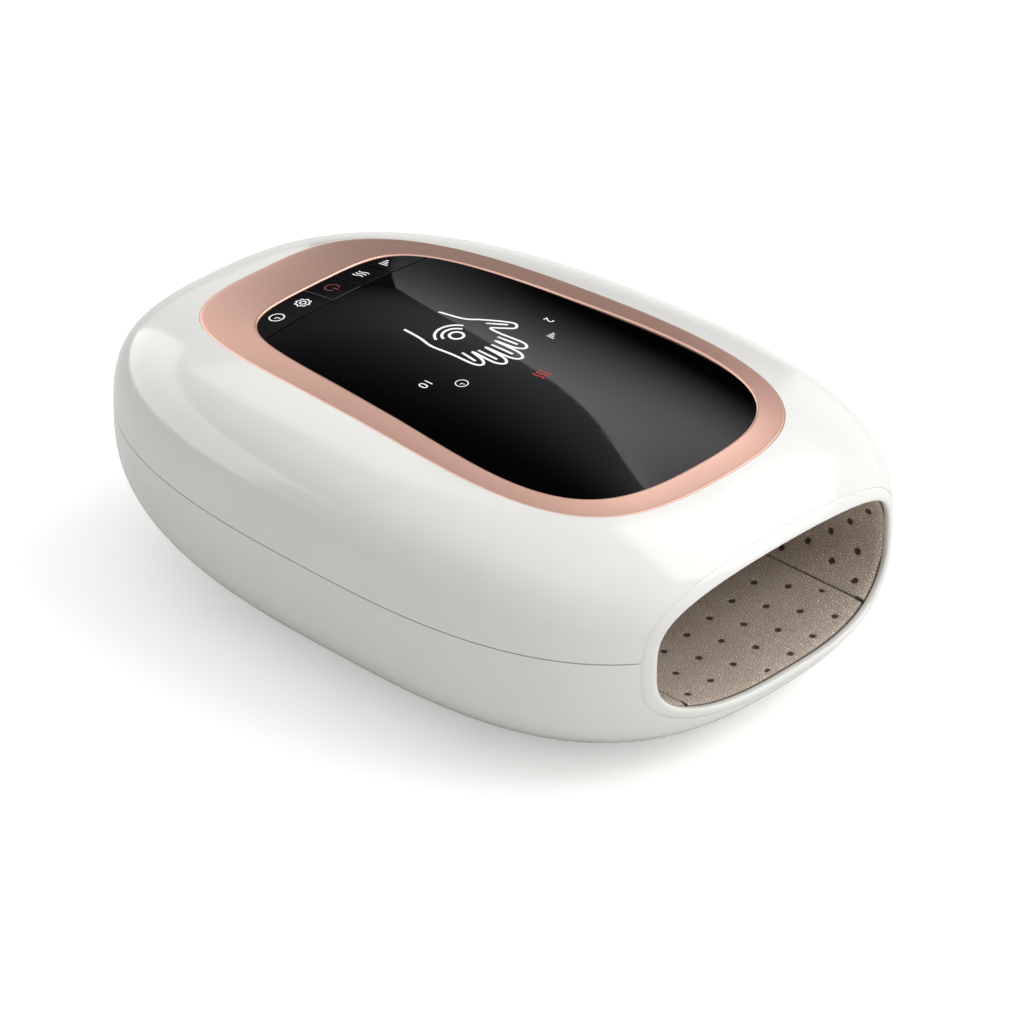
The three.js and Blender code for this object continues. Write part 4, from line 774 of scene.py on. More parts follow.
# ---- Pocket lining
# The real lining is beige polyurethane leather, 1 mm thick with a fine pebbled grain, on soft foam. Floor
# and roof are loose pads that the air bags press inwards, sewn to the sides along a seam; holes let air out.
pocket_rear, rear_half_width, rear_half_height, rear_axis = 46.0, 46.0, 15.5, 44.0
seam, seam_gap, pad_depth, pad_edge_depth, side_depth = 39.4, 0.06, 3.3, 6.2, 4.5
tuck, thin_edge, thin_until, full_after = 3.1, 1.1, 11, 12
pad_rear_gap, side_rear_gap, end_gap = 4.2, 0.5, 2.2
pad_length, side_length = 120, 105
dent_depth, dent_radius, hole_margin = 0.55, 1.6, 2.5
edge_roll, roll_width, pad_crown, crown_width, mouth_rows = 0.25, 0.5, 0.45, 5, 0.01
first_row, middle_row, seam_strip, far_from_seam = -115, -100, 0.42, 9.0
end_thickness, leather_edge, end_row, end_bulge, end_clearance = 2.0, 0.4, 44.0, 1.4, 0.4
pad_leaves, pad_arrives = (0, -114, 0), (0, -84, 0)
floor_holes = ((-3.0, -95.9), (11.7, 1.35), (4.6, -9.35))
side_holes = ((-8.8, -103.6), (-8.5, -4.0), (-5.8, 6.6))


def pocket_section(y):
    """Half the pocket's width, half its height, and its axis's height, at that row."""
    share = (y + half_length) / (pocket_rear + half_length)
    mouth = lip_half_width, lip_half_height, mouth_height
    rear = rear_half_width, rear_half_height, rear_axis
    return [mixed(a, b, share) for a, b in zip(mouth, rear)]


def opening(x, reach):
    """How high a rounded opening of that reach still is at x, as a share of its middle."""
    return (1 - (abs(x) / reach) ** mouth_roundness) ** (1 / mouth_roundness)


def wall_point(y, angle, outwards):
    """Point of the pocket's wall at that row, moved outwards from the hand."""
    reach, rise, axis = pocket_section(y)
    power = 2 / mouth_roundness
    up = axis + (rise + outwards) * rounded(math.sin(angle), power)
    return Vector(((reach + outwards) * rounded(math.cos(angle), power), y, up))


def angle_at_seam(y, x):
    return math.acos(min(1, x / pocket_section(y)[0]) ** (mouth_roundness / 2))


def nearest_hole(across, along, holes):
    """How far, in millimetres, the nearest hole of the slanted rows is."""
    origin, first, second = holes
    dx, dy = across - origin[0], along - origin[1]
    area = first[0] * second[1] - first[1] * second[0]
    i, j = (dx * second[1] - dy * second[0]) / area, (first[0] * dy - first[1] * dx) / area
    i, j = i - round(i), j - round(j)
    return math.hypot(i * first[0] + j * second[0], i * first[1] + j * second[1])


def leather(holes):
    """The leather's finish, with holes in slanted rows: a place of one, and the steps to the next two."""
    origin, first, second = holes
    area = first[0] * second[1] - first[1] * second[0]

    def build(tree, place):
        # The embossed grain has pebbles of about 0.9 mm between creases of 0.1 mm, each rubbed a little
        # paler or darker than the next, longer folds where it is stretched, and ripples of about 1.2 mm
        # where it is turned in at the mouth; the punched holes show the brown backing. The creases are
        # painted darker, as painted shade; a brown line of painted shade runs along the stitched and tucked
        # edges, and a near-black painted shadow lies where the leather tucks under the lip.
        cut_at = add(tree, "ShaderNodeAttribute", attribute_name="leather_mm").outputs["Vector"]
        ragged = add(tree, "ShaderNodeTexNoise", {"Vector": cut_at, "Scale": 0.9, "Detail": 1.0})
        spread = add(tree, "ShaderNodeVectorMath",
                     {0: ragged.outputs["Color"], 1: (0.9, 0.9, 0), 2: (-0.45, -0.45, 0)},
                     operation="MULTIPLY_ADD")
        moved = add(tree, "ShaderNodeVectorMath", {0: cut_at, 1: spread}, operation="ADD")
        from_first = add(tree, "ShaderNodeVectorMath", {0: moved, 1: (*origin, 0)}, operation="SUBTRACT")
        along_row = add(tree, "ShaderNodeVectorMath",
                        {0: from_first, 1: (second[1] / area, -second[0] / area, 0)}, operation="DOT_PRODUCT")
        over_rows = add(tree, "ShaderNodeVectorMath",
                        {0: from_first, 1: (-first[1] / area, first[0] / area, 0)}, operation="DOT_PRODUCT")
        counted = add(tree, "ShaderNodeCombineXYZ", {0: along_row, 1: over_rows})
        centred = add(tree, "ShaderNodeVectorMath", {0: counted, 1: (0.5, 0.5, 0)}, operation="ADD")
        part = add(tree, "ShaderNodeVectorMath", {0: centred}, operation="FRACTION")
        offset = add(tree, "ShaderNodeVectorMath", {0: part, 1: (0.5, 0.5, 0)}, operation="SUBTRACT")
        away_x = add(tree, "ShaderNodeVectorMath", {0: offset, 1: (first[0], second[0], 0)},
                     operation="DOT_PRODUCT")
        away_y = add(tree, "ShaderNodeVectorMath", {0: offset, 1: (first[1], second[1], 0)},
                     operation="DOT_PRODUCT")
        away = add(tree, "ShaderNodeCombineXYZ", {0: away_x, 1: away_y})
        hole = add(tree, "ShaderNodeVectorMath", {0: away}, operation="LENGTH")
        to_seam = add(tree, "ShaderNodeSeparateXYZ", {0: cut_at})
        rim = add(tree, "ShaderNodeMapRange", {0: hole, 1: 0.85, 2: 1.3, 3: 0.0, 4: 1.0},
                  interpolation_type="SMOOTHSTEP")
        whole = add(tree, "ShaderNodeMath", {0: to_seam.outputs["Z"], 1: hole_margin}, operation="LESS_THAN")
        rim = add(tree, "ShaderNodeMath", {0: rim, 1: whole}, operation="MAXIMUM")
        warp = add(tree, "ShaderNodeTexNoise", {"Vector": cut_at, "Scale": 0.45, "Detail": 2.0})
        bent = add(tree, "ShaderNodeVectorMath", {0: warp.outputs["Color"], 1: (1.4, 1.4, 0), 2: cut_at},
                   operation="MULTIPLY_ADD")
        pebbles = add(tree, "ShaderNodeTexVoronoi", {"Vector": bent, "Scale": 1.15},
                      feature="DISTANCE_TO_EDGE", voronoi_dimensions="2D")
        grain = add(tree, "ShaderNodeMapRange", {0: pebbles, 1: 0.0, 2: 0.35, 3: 0.0, 4: 1.0},
                    interpolation_type="SMOOTHSTEP")
        stretched = add(tree, "ShaderNodeVectorMath", {0: bent, 1: (0.12, 0.55, 0)}, operation="MULTIPLY")
        folds = add(tree, "ShaderNodeTexNoise",
                    {"Vector": stretched, "Scale": 1.0, "Detail": 3.0, "Roughness": 0.6})
        shade = add(tree, "ShaderNodeTexNoise", {"Vector": cut_at, "Scale": 0.06, "Detail": 3.0})
        rubbed = add(tree, "ShaderNodeTexNoise",
                     {"Vector": cut_at, "Scale": 0.8, "Detail": 3.0, "Roughness": 0.65})
        rubbed = add(tree, "ShaderNodeMath", {0: rubbed, 1: 2.2, 2: shade}, operation="MULTIPLY_ADD")
        worn = add(tree, "ShaderNodeMapRange", {0: rubbed, 1: 1.1, 2: 2.1, 3: 0.0, 4: 1.0})
        base = add(tree, "ShaderNodeMix", {0: worn, 6: paint("#D5C5B5"), 7: paint("#F1E7DC")},
                   data_type="RGBA")
        # Painted shade: the creases between the pebbles are painted darker, as the shade in them.
        crease_shaded = add(tree, "ShaderNodeMix", {0: grain, 6: paint("#B7A594"), 7: base}, data_type="RGBA")
        pierced = add(tree, "ShaderNodeMix", {0: rim, 6: paint("#4B392C"), 7: crease_shaded}, data_type="RGBA")
        # Painted shade: within 0.4 mm of the stitched and tucked edges the leather is painted brown, as the
        # shade in the seam's groove.
        seam_shade = add(tree, "ShaderNodeMapRange", {0: to_seam.outputs["Z"], 1: 0.0, 2: 0.4, 3: 0.35, 4: 0.0})
        edge_shaded = add(tree, "ShaderNodeMix", {0: seam_shade, 6: pierced, 7: paint("#715E4D")}, data_type="RGBA")
        # Painted shadow: in the rows by the mouth, within 0.8 mm of its edges, the leather is painted almost
        # black, as the shadow where it tucks under the lip.
        front = add(tree, "ShaderNodeMath", {0: to_seam.outputs["Y"], 1: -111.5}, operation="LESS_THAN")
        lip_shadow = add(tree, "ShaderNodeMapRange", {0: to_seam.outputs["Z"], 1: 0.35, 2: 0.8, 3: 0.85, 4: 0.0},
                    interpolation_type="SMOOTHSTEP")
        lip_shadow = add(tree, "ShaderNodeMath", {0: lip_shadow, 1: front}, operation="MULTIPLY")
        edge_shaded = add(tree, "ShaderNodeMix", {0: lip_shadow, 6: edge_shaded, 7: paint("#2B211A")}, data_type="RGBA")
        height = add(tree, "ShaderNodeMath", {0: grain, 1: rim}, operation="MULTIPLY")
        folded = add(tree, "ShaderNodeMath", {0: folds, 1: 1.6, 2: height}, operation="MULTIPLY_ADD")
        drawn_in = add(tree, "ShaderNodeVectorMath", {0: bent, 1: (0.8, 0.1, 0)}, operation="MULTIPLY")
        ripples = add(tree, "ShaderNodeTexNoise", {"Vector": drawn_in, "Scale": 1.0, "Detail": 1.0})
        turned = add(tree, "ShaderNodeMapRange",
                     {0: to_seam.outputs["Y"], 1: -114.0, 2: -98.0, 3: 4.5, 4: 0.0},
                     interpolation_type="SMOOTHSTEP")
        rippled = add(tree, "ShaderNodeMath", {0: ripples, 1: turned, 2: folded}, operation="MULTIPLY_ADD")
        bump = add(tree, "ShaderNodeBump", {"Height": rippled, "Strength": 0.8, "Distance": 0.00025})
        return add(tree, "ShaderNodeBsdfPrincipled", {
            "Base Color": edge_shaded, "Roughness": 0.52, "IOR": 1.5, "Normal": bump,
            "Sheen Weight": 0.12, "Sheen Roughness": 0.5,
        })
    return build


pu_leather = finish_named("embossed_pu_leather", leather(floor_holes))
side_leather = finish_named("embossed_pu_leather_sides", leather(side_holes))


def packed_to_edges(u):
    """Columns set closer towards both seams, where the leather rolls over."""
    t = 2 * u - 1
    return 0.5 + 0.5 * (1.35 * t - 0.35 * t ** 3)


def marked(item, marks):
    """The place of each point on the cut leather, in millimetres, for the grain and the holes, and its
    distance to the edge, for the painted shade along it.
    """
    attribute = item.data.attributes.new("leather_mm", "FLOAT_VECTOR", "POINT")
    attribute.data.foreach_set("vector", [c for mark in marks for c in mark])


def lined(name, columns, rows, point_at, mark_at, holes, finish, body, replaced, depth_at):
    """A closed pad between the leather's face and its foam. point_at(u, v, outwards) places it,
    mark_at(u, v) gives its place on the cut leather and its distance to the sewn or tucked edge, and
    depth_at(u, v) how thick the pad is."""
    back_columns = 12
    around = columns + back_columns
    marks = {}

    def spot(u, v):
        step = round(u * around) % around
        if step <= columns:
            across = packed_to_edges(step / columns)
            mark = mark_at(across, v)
            x, y, to_edge = mark
            outwards = edge_roll * math.exp(-(to_edge / roll_width) ** 2)
            outwards += pad_crown * (math.exp(-to_edge / crown_width) - 1)
            outwards += pad_crown * math.exp(-(v / mouth_rows) ** 2)
            if to_edge > hole_margin:
                outwards += dent_depth * max(0, 1 - (nearest_hole(x, y, holes) / dent_radius) ** 2)
        else:
            across = min(1, max(0, 1 - (step - columns - 0.5) / (back_columns - 1)))
            mark = (*mark_at(across, v)[:2], 0.0)
            outwards = depth_at(across, v)
        place = point_at(across, v, outwards)
        marks[tuple(round(c, 3) for c in place)] = mark
        return place

    sheet = laid(around, rows, spot)
    bmesh.ops.holes_fill(sheet, edges=[edge for edge in sheet.edges if edge.is_boundary], sides=0)
    bmesh.ops.recalc_face_normals(sheet, faces=sheet.faces)
    unmarked = (0, 0, far_from_seam)
    found = [marks.get(tuple(round(c, 3) for c in vertex.co), unmarked) for vertex in sheet.verts]
    item = made(name, sheet, finish, body, replaced)
    marked(item, found)
    return item


def thin_at_lip(back, full):
    """Thin inside the bezel's skirt, then full."""
    return mixed(thin_edge, full, min(1, max(0, (back - thin_until) / full_after)))


def denser_at_mouth(front, rear, v):
    """Rows set closer towards the mouth."""
    return mixed(front, rear, 0.7 * v + 0.3 * v * v)


def panel(side):
    """Floor (side -1) or roof (side 1) pad between its seams."""
    half = seam - seam_gap / 2
    fronts = {}

    def point_at(u, v, outwards):
        x = mixed(-half, half, u)
        if x not in fronts:
            rim = mouth_height + side * lip_half_height * opening(x, lip_half_width)
            fronts[x] = front_row(x, rim) + tuck
        y = denser_at_mouth(fronts[x], pocket_rear - pad_rear_gap, v)
        reach, rise, axis = pocket_section(y)
        return Vector((x, y, axis + side * (rise * opening(x, reach) + outwards)))

    def mark_at(u, v):
        place = point_at(u, v, 0)
        return place.x, place.y, min(half - abs(place.x), place.y - fronts[mixed(-half, half, u)])

    return point_at, mark_at


def evenly_round(y):
    """Turns round the wall at even steps of leather, as shares of the turn to the seam, and half the
    wall's length."""
    limit = angle_at_seam(y, seam + seam_gap / 2)
    turns = turns_between(-1, 1, 400)
    cuts, length = even_cuts([wall_point(y, turn * limit, 0) for turn in turns], 100)
    return [mixed(turns[j], turns[j + 1], share) for j, share in cuts], length / 2


def side_panel(side):
    """Left (side -1) or right (side 1) wall of the pocket between its seams."""
    fronts = {}
    shares, half_wall = evenly_round(middle_row)

    def turn_share(u):
        step = min(len(shares) - 2, int(u * (len(shares) - 1)))
        return mixed(shares[step], shares[step + 1], u * (len(shares) - 1) - step)

    def point_at(u, v, outwards):
        if u not in fronts:
            spot = wall_point(first_row, angle_at_seam(first_row, seam + seam_gap / 2) * turn_share(u), 0)
            fronts[u] = front_row(spot.x, spot.z) + tuck
        y = denser_at_mouth(fronts[u], pocket_rear - side_rear_gap, v)
        place = wall_point(y, angle_at_seam(y, seam + seam_gap / 2) * turn_share(u), outwards)
        return Vector((side * place.x, place.y, place.z))

    def mark_at(u, v):
        round_wall = (u - 0.5) * 2 * half_wall
        place = point_at(u, v, 0)
        return round_wall, place.y, min(half_wall - abs(round_wall), place.y - fronts[u])

    return point_at, mark_at


def pad_thickness(u, v):
    """The pads are thicker in a strip along their seams."""
    return thin_at_lip(v * pad_length, pad_edge_depth if abs(u - 0.5) > seam_strip else pad_depth)


for side, name, columns, rows in ((-1, "floor", 120, 180), (1, "roof", 90, 120)):
    pad = f"{name}_pad"
    lined(f"{name}_leather", columns, rows, *panel(side), floor_holes, pu_leather,
          ("housing", pad, pad_leaves, pad_arrives), [pad], pad_thickness)

for side, name, covered in ((-1, "left", ["left_lining"]), (1, "right", ["right_lining", "mouth_lining"])):
    lined(f"{name}_leather", 64, 150, *side_panel(side), side_holes, side_leather, "housing", covered,
          lambda u, v: thin_at_lip(v * side_length, side_depth))


def end_panel(u, v):
    x = mixed(-seam, seam, u)
    reach, rise, axis = pocket_section(end_row)
    bulge = end_bulge * (1 - (2 * u - 1) ** 4) * (1 - (2 * v - 1) ** 4)
    up = axis + mixed(-1, 1, v) * (rise - end_clearance) * opening(x, reach)
    return Vector((x, pocket_rear - end_gap - bulge, up))


end_sheet = laid(60, 24, end_panel, (0, 100, 44))
end_leather = made("end_leather", end_sheet, pu_leather, "housing", ["end_lining"])
end_points = [vertex.co * 1000 for vertex in end_leather.data.vertices]
marked(end_leather, [(point.x, point.z, far_from_seam) for point in end_points])
walled(end_leather, end_thickness, leather_edge)

# ---- Air bags
# The real bags are two sheets of polyurethane film welded round their edges and in spots, lying flat behind
# the roof and the floor until the pump fills them.
bag_half_width, bag_front, bag_rear = 33.0, -86.0, 40.0
bag_length, bag_weld, bag_middle = bag_rear - bag_front, 4, 0.95
spot_weld, spot_pitch, spot_share = 5, (20, 26), 0.35
weld_gap, bag_fullness = 0.12, 0.75
spigot_x, spigot_y, spigot_root, spigot_tip, spigot_length, spigot_rise = 22, 32, 2.4, 2.0, 3.2, 3.0


def bag_film(tree, place):
    # Calendered film has a faint orange peel of about 1 mm and a milky, rubbery gloss.
    peel = add(tree, "ShaderNodeTexNoise", {"Vector": place, "Scale": 1000.0, "Detail": 2.0})
    colour = add(tree, "ShaderNodeMix", {0: peel, 6: paint("#565F6B"), 7: paint("#68727F")}, data_type="RGBA")
    bump = add(tree, "ShaderNodeBump", {"Height": peel, "Strength": 0.3, "Distance": 0.0001})
    return add(tree, "ShaderNodeBsdfPrincipled",
               {"Base Color": colour, "Roughness": 0.35, "IOR": 1.5, "Normal": bump})


welded_film = finish_named("welded_polyurethane_film", bag_film)


def bag_shape(side, inner):
    """Closed envelope: out over the face away from the hand, back under the other, meeting at the weld."""
    wide, long = spot_pitch

    def spot(u, v):
        turn = 2 * math.pi * u
        across = math.cos(turn)
        x, y = bag_half_width * across, mixed(bag_front, bag_rear, v)
        rim = min(1, (1 - abs(across)) * bag_half_width / bag_weld)
        rim *= min(1, v * bag_length / bag_weld, (1 - v) * bag_length / bag_weld)
        tuft = min(1, math.hypot((x + 100) % wide - wide / 2, (y + 101) % long - long / 2) / spot_weld)
        fullness = weld_gap + bag_fullness * rim ** 0.5 * mixed(spot_share, 1, tuft ** 0.7)
        reach, rise, axis = pocket_section(y)
        outwards = inner + bag_middle + (fullness if math.sin(turn) >= 0 else -fullness)
        return Vector((x, y, axis + side * (rise * opening(x, reach) + outwards)))
    return spot


for side, name, pad, inner, near, far in (
    (1, "upper", "roof_pad", 3.5, 62.5, 69.5),
    (-1, "lower", "floor_pad", 3.9, 25.2, 18.5),
):
    sheet = laid(96, 84, bag_shape(side, inner))
    bmesh.ops.holes_fill(sheet, edges=[edge for edge in sheet.edges if edge.is_boundary], sides=0)
    spigot = bmesh.ops.create_cone(
        sheet, cap_ends=True, segments=32, radius1=spigot_root, radius2=spigot_tip, depth=spigot_length,
    )
    reach, rise, axis = pocket_section(spigot_y)
    seat = axis + side * (rise * opening(spigot_x, reach) + inner + spigot_rise)
    bmesh.ops.translate(sheet, verts=spigot["verts"], vec=(spigot_x, spigot_y, seat))
    bmesh.ops.recalc_face_normals(sheet, faces=sheet.faces)
    stretched = ("housing", pad, (0, 0, far), (0, 0, near))
    bag = made(f"{name}_bag_envelope", sheet, welded_film, stretched, [f"{name}_air_bag"])

# ---- Pocket frames and heating film
# The real frames are injection-moulded grey ABS with ribs, screwed between the shells; they back the bags.
# The film is two sheets of polyimide with an etched heating track between them, under the floor leather.


def refinished(finish, *nodes):
    """Gives CAD pieces, whose shape stays as it is, the finish of the real ones."""
    for node in nodes:
        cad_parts[node].material_slots[0].material = finish


def moulded(dark, pale, rough):
    def build(tree, place):
        # The mould is spark eroded: a matt grain of about 0.25 mm over soft flow marks.
        grain = add(tree, "ShaderNodeTexNoise", {"Vector": place, "Scale": 4000.0, "Detail": 1.0})
        flow = add(tree, "ShaderNodeTexNoise", {"Vector": place, "Scale": 60.0, "Detail": 2.0})
        colour = add(tree, "ShaderNodeMix", {0: flow, 6: paint(dark), 7: paint(pale)}, data_type="RGBA")
        matt = add(tree, "ShaderNodeMapRange", {0: grain, 1: 0.3, 2: 0.7, 3: rough - 0.06, 4: rough + 0.06})
        bump = add(tree, "ShaderNodeBump", {"Height": grain, "Strength": 0.25, "Distance": 0.0001})
        return add(tree, "ShaderNodeBsdfPrincipled", {
            "Base Color": colour, "Roughness": matt, "IOR": 1.53, "Normal": bump,
        })
    return build


grey_abs = finish_named("moulded_grey_abs", moulded("#8B8E93", "#95989D", 0.5))
refinished(grey_abs, "upper_pocket_frame", "lower_pocket_frame", "pump_tray")


def banded(tree, place, pitch):
    """Parallel lines side by side along X, 0 to 1 across each, at a pitch in millimetres."""
    wave = add(tree, "ShaderNodeTexWave", {"Vector": place, "Scale": math.pi / (10 * pitch / 1000)})
    return wave.outputs["Fac"]


def heating_polyimide(tree, place):
    # Amber film, glossy, with etched nickel tracks 1.5 mm wide at 3 mm, which show through as
    # grey-brown lines.
    tracks = banded(tree, place, 3.0)
    track = add(tree, "ShaderNodeMapRange", {0: tracks, 1: 0.45, 2: 0.55, 3: 0.0, 4: 1.0})
    wrinkle = add(tree, "ShaderNodeTexNoise", {"Vector": place, "Scale": 120.0, "Detail": 2.0})
    colour = add(tree, "ShaderNodeMix", {0: track, 6: paint("#C6801F"), 7: paint("#7A5A34")},
                 data_type="RGBA")
    bump = add(tree, "ShaderNodeBump", {"Height": wrinkle, "Strength": 0.2, "Distance": 0.0003})
    return add(tree, "ShaderNodeBsdfPrincipled",
               {"Base Color": colour, "Roughness": 0.22, "IOR": 1.7, "Normal": bump})


refinished(finish_named("polyimide_heating_film", heating_polyimide), "heating_film")

# ---- Display tray, boards and ribbons
# The real tray is moulded in black nylon and carries the pane. The boards are glass fibre laminate with
# green solder mask; the ribbons are polyimide with copper conductors.
black_nylon = finish_named("moulded_black_nylon", moulded("#1B1C1E", "#252629", 0.5))
refinished(black_nylon, "display_tray")


def masked_board(tree, place):
    # Solder mask is a glossy green varnish, a little paler over the copper; tinned pads of 0.9 mm sit on a
    # grid of 2.54 mm, and the copper lies in straight-edged fields of about 4 mm.
    fields = add(tree, "ShaderNodeTexVoronoi", {"Vector": place, "Scale": 250.0}, feature="F1",
                 distance="CHEBYCHEV")
    hue = add(tree, "ShaderNodeSeparateColor", {0: fields.outputs["Color"]})
    copper = add(tree, "ShaderNodeMath", {0: hue.outputs["Red"], 1: 0.5}, operation="GREATER_THAN")
    grid = add(tree, "ShaderNodeVectorMath", {0: place, 1: (1 / 0.00254, 1 / 0.00254, 0)},
               operation="MULTIPLY")
    step = add(tree, "ShaderNodeVectorMath", {0: grid}, operation="FRACTION")
    from_pad = add(tree, "ShaderNodeVectorMath", {0: step, 1: (0.5, 0.5, 0)}, operation="DISTANCE")
    pad = add(tree, "ShaderNodeMath", {0: from_pad, 1: 0.18}, operation="LESS_THAN")
    mask = add(tree, "ShaderNodeMix", {0: copper, 6: paint("#14502F"), 7: paint("#1F6B41")}, data_type="RGBA")
    colour = add(tree, "ShaderNodeMix", {0: pad, 6: mask, 7: paint("#C9CBCC")}, data_type="RGBA")
    rough = add(tree, "ShaderNodeMapRange", {0: pad, 1: 0.0, 2: 1.0, 3: 0.22, 4: 0.38})
    return add(tree, "ShaderNodeBsdfPrincipled", {
        "Base Color": colour, "Roughness": rough, "Metallic": pad, "IOR": 1.55,
    })


refinished(finish_named("solder_masked_laminate", masked_board), "display_board", "key_board", "main_board")


def ribbon_polyimide(tree, place):
    # Copper conductors 0.5 mm wide at 1 mm lie between two amber films and show through.
    wires = banded(tree, place, 1.0)
    wire = add(tree, "ShaderNodeMapRange", {0: wires, 1: 0.42, 2: 0.58, 3: 0.0, 4: 1.0})
    colour = add(tree, "ShaderNodeMix", {0: wire, 6: paint("#B9741D"), 7: paint("#8C5526")}, data_type="RGBA")
    return add(tree, "ShaderNodeBsdfPrincipled", {"Base Color": colour, "Roughness": 0.25, "IOR": 1.7})


refinished(finish_named("polyimide_ribbon", ribbon_polyimide), "display_ribbon", "main_ribbon")

# ---- Pump, valves and hoses
# The real pump is a small diaphragm pump: a drawn steel motor can, a wound rotor, a sintered bronze bush and
# a nylon head with a rubber diaphragm, held in a rubber sleeve. Silicone hoses lead to the two valves.
refinished(black_nylon, "pump_head", "valve_manifold", "upper_bag_valve", "lower_bag_valve")


def plated(tree, place):
    # Bright zinc over drawn or turned steel: fine rub marks about 0.3 mm apart spread its reflections.
    rubbed = add(tree, "ShaderNodeTexNoise", {"Vector": place, "Scale": 3000.0, "Detail": 3.0})
    rough = add(tree, "ShaderNodeMapRange", {0: rubbed, 1: 0.3, 2: 0.7, 3: 0.22, 4: 0.36})
    colour = add(tree, "ShaderNodeMix", {0: rubbed, 6: paint("#B9BBBF"), 7: paint("#CACCD0")},
                 data_type="RGBA")
    return add(tree, "ShaderNodeBsdfPrincipled", {"Base Color": colour, "Roughness": rough, "Metallic": 1.0})


zinc_plated = finish_named("zinc_plated_steel", plated)
refinished(zinc_plated, "pump_motor_can", "upper_bag_plunger", "lower_bag_plunger")


def wound_rotor(tree, place):
    # Laminations 0.5 mm thick are stacked along the shaft, with varnished copper wire of 0.3 mm beside them.
    stack = banded(tree, place, 0.5)
    seam_line = add(tree, "ShaderNodeMapRange", {0: stack, 1: 0.0, 2: 0.3, 3: 0.0, 4: 1.0})
    colour = add(tree, "ShaderNodeMix", {0: seam_line, 6: paint("#6B3A20"), 7: paint("#B87444")},
                 data_type="RGBA")
    bump = add(tree, "ShaderNodeBump", {"Height": stack, "Strength": 0.4, "Distance": 0.0001})
    return add(tree, "ShaderNodeBsdfPrincipled",
               {"Base Color": colour, "Roughness": 0.35, "Metallic": 1.0, "Normal": bump})


refinished(finish_named("laminated_steel_and_copper", wound_rotor), "pump_rotor")


def sintered(tree, place):
    # Pressed bronze powder, filled with oil: dark pores of about 0.2 mm, drawn at 0.3 mm.
    pores = add(tree, "ShaderNodeTexNoise", {"Vector": place, "Scale": 3300.0, "Detail": 2.0})
    pore = add(tree, "ShaderNodeMapRange", {0: pores, 1: 0.35, 2: 0.5, 3: 0.0, 4: 1.0})
    colour = add(tree, "ShaderNodeMix", {0: pore, 6: paint("#6E5526"), 7: paint("#C0984F")}, data_type="RGBA")
    return add(tree, "ShaderNodeBsdfPrincipled", {"Base Color": colour, "Roughness": 0.42, "Metallic": 1.0})


refinished(finish_named("sintered_bronze", sintered), "motor_bush")


def drawn_silicone(tree, place):
    # Extruded silicone is milky and clings to dust; draw marks of about 0.5 mm run over it.
    marks = add(tree, "ShaderNodeTexNoise", {"Vector": place, "Scale": 2000.0, "Detail": 1.0})
    rough = add(tree, "ShaderNodeMapRange", {0: marks, 1: 0.3, 2: 0.7, 3: 0.25, 4: 0.4})
    return add(tree, "ShaderNodeBsdfPrincipled", {
        "Base Color": paint("#E6E9E8"), "Roughness": rough, "IOR": 1.43, "Transmission Weight": 0.6,
    })


refinished(finish_named("extruded_silicone", drawn_silicone), "pump_hose", "upper_bag_hose", "lower_bag_hose")

# ---- Cells and leads
# The real cells are steel cans in shrunk PVC film, with spot-welded nickel strips; the leads are stranded
# copper in black PVC.


def shrink_wrap(tree, place):
    # Shrunk film is smooth and glossy, with faint ripples of about 3 mm where it has drawn in.
    ripple = add(tree, "ShaderNodeTexNoise", {"Vector": place, "Scale": 330.0, "Detail": 1.0})
    colour = add(tree, "ShaderNodeMix", {0: ripple, 6: paint("#245F96"), 7: paint("#2C6EA9")},
                 data_type="RGBA")
    bump = add(tree, "ShaderNodeBump", {"Height": ripple, "Strength": 0.2, "Distance": 0.0003})
    return add(tree, "ShaderNodeBsdfPrincipled",
               {"Base Color": colour, "Roughness": 0.2, "IOR": 1.53, "Normal": bump})


refinished(finish_named("shrunk_pvc_film", shrink_wrap), "front_cell", "rear_cell")
refinished(zinc_plated, "left_cell_strip", "right_cell_strip")
# Extruded PVC leaves the die with about the same fine grain as moulded plastic, and glossier.
black_pvc = finish_named("extruded_black_pvc", moulded("#151517", "#1E1E21", 0.34))
refinished(black_pvc, "left_cell_lead", "right_cell_lead", "upper_motor_lead", "lower_motor_lead")

# ---- Case screws and charging socket
# The real screws are zinc-plated steel, deep in the belly's bores; the socket is a stamped steel shell,
# soldered to the main board behind the slot at the rear.
refinished(zinc_plated, "charge_port", *[f"case_screw_{i + 1}" for i in range(4)])

# ---- Rubber feet and pump rubber
# The real feet are moulded nitrile rubber, glued into shallow sockets in the belly. The pump's diaphragm
# and sleeve are the same rubber.
foot_radius, foot_thickness = 6.5, 2.9


def rubber_surface(tree, place):
    # Mould-blasted rubber: a grain of about 0.3 mm, matt and slightly dusty.
    grain = add(tree, "ShaderNodeTexNoise", {"Vector": place, "Scale": 3000.0, "Detail": 2.0})
    colour = add(tree, "ShaderNodeMix", {0: grain, 6: paint("#242426"), 7: paint("#323234")},
                 data_type="RGBA")
    bump = add(tree, "ShaderNodeBump", {"Height": grain, "Strength": 0.3, "Distance": 0.0001})
    return add(tree, "ShaderNodeBsdfPrincipled",
               {"Base Color": colour, "Roughness": 0.8, "IOR": 1.52, "Normal": bump})


black_rubber = finish_named("moulded_rubber", rubber_surface)
refinished(black_rubber, "pump_diaphragm", "pump_sleeve")
for index, (x, y) in enumerate(foot_places, 1):
    foot = bmesh.new()
    bmesh.ops.create_cone(
        foot, cap_ends=True, segments=48, radius1=foot_radius, radius2=foot_radius, depth=foot_thickness,
    )
    bmesh.ops.translate(foot, verts=foot.verts, vec=(x, y, foot_thickness / 2))
    name = f"rubber_foot_{index}"
    eased(made(name, foot, black_rubber, "housing", [f"foot_{index}"]), edge=0.7, steps=3)

# ---- Floor, backdrop and light
# A white floor, cards and soft boxes, as in a product studio. None of it belongs to the object. The air is
# white to the camera and in reflections, and the floor to the camera; both light the object less.


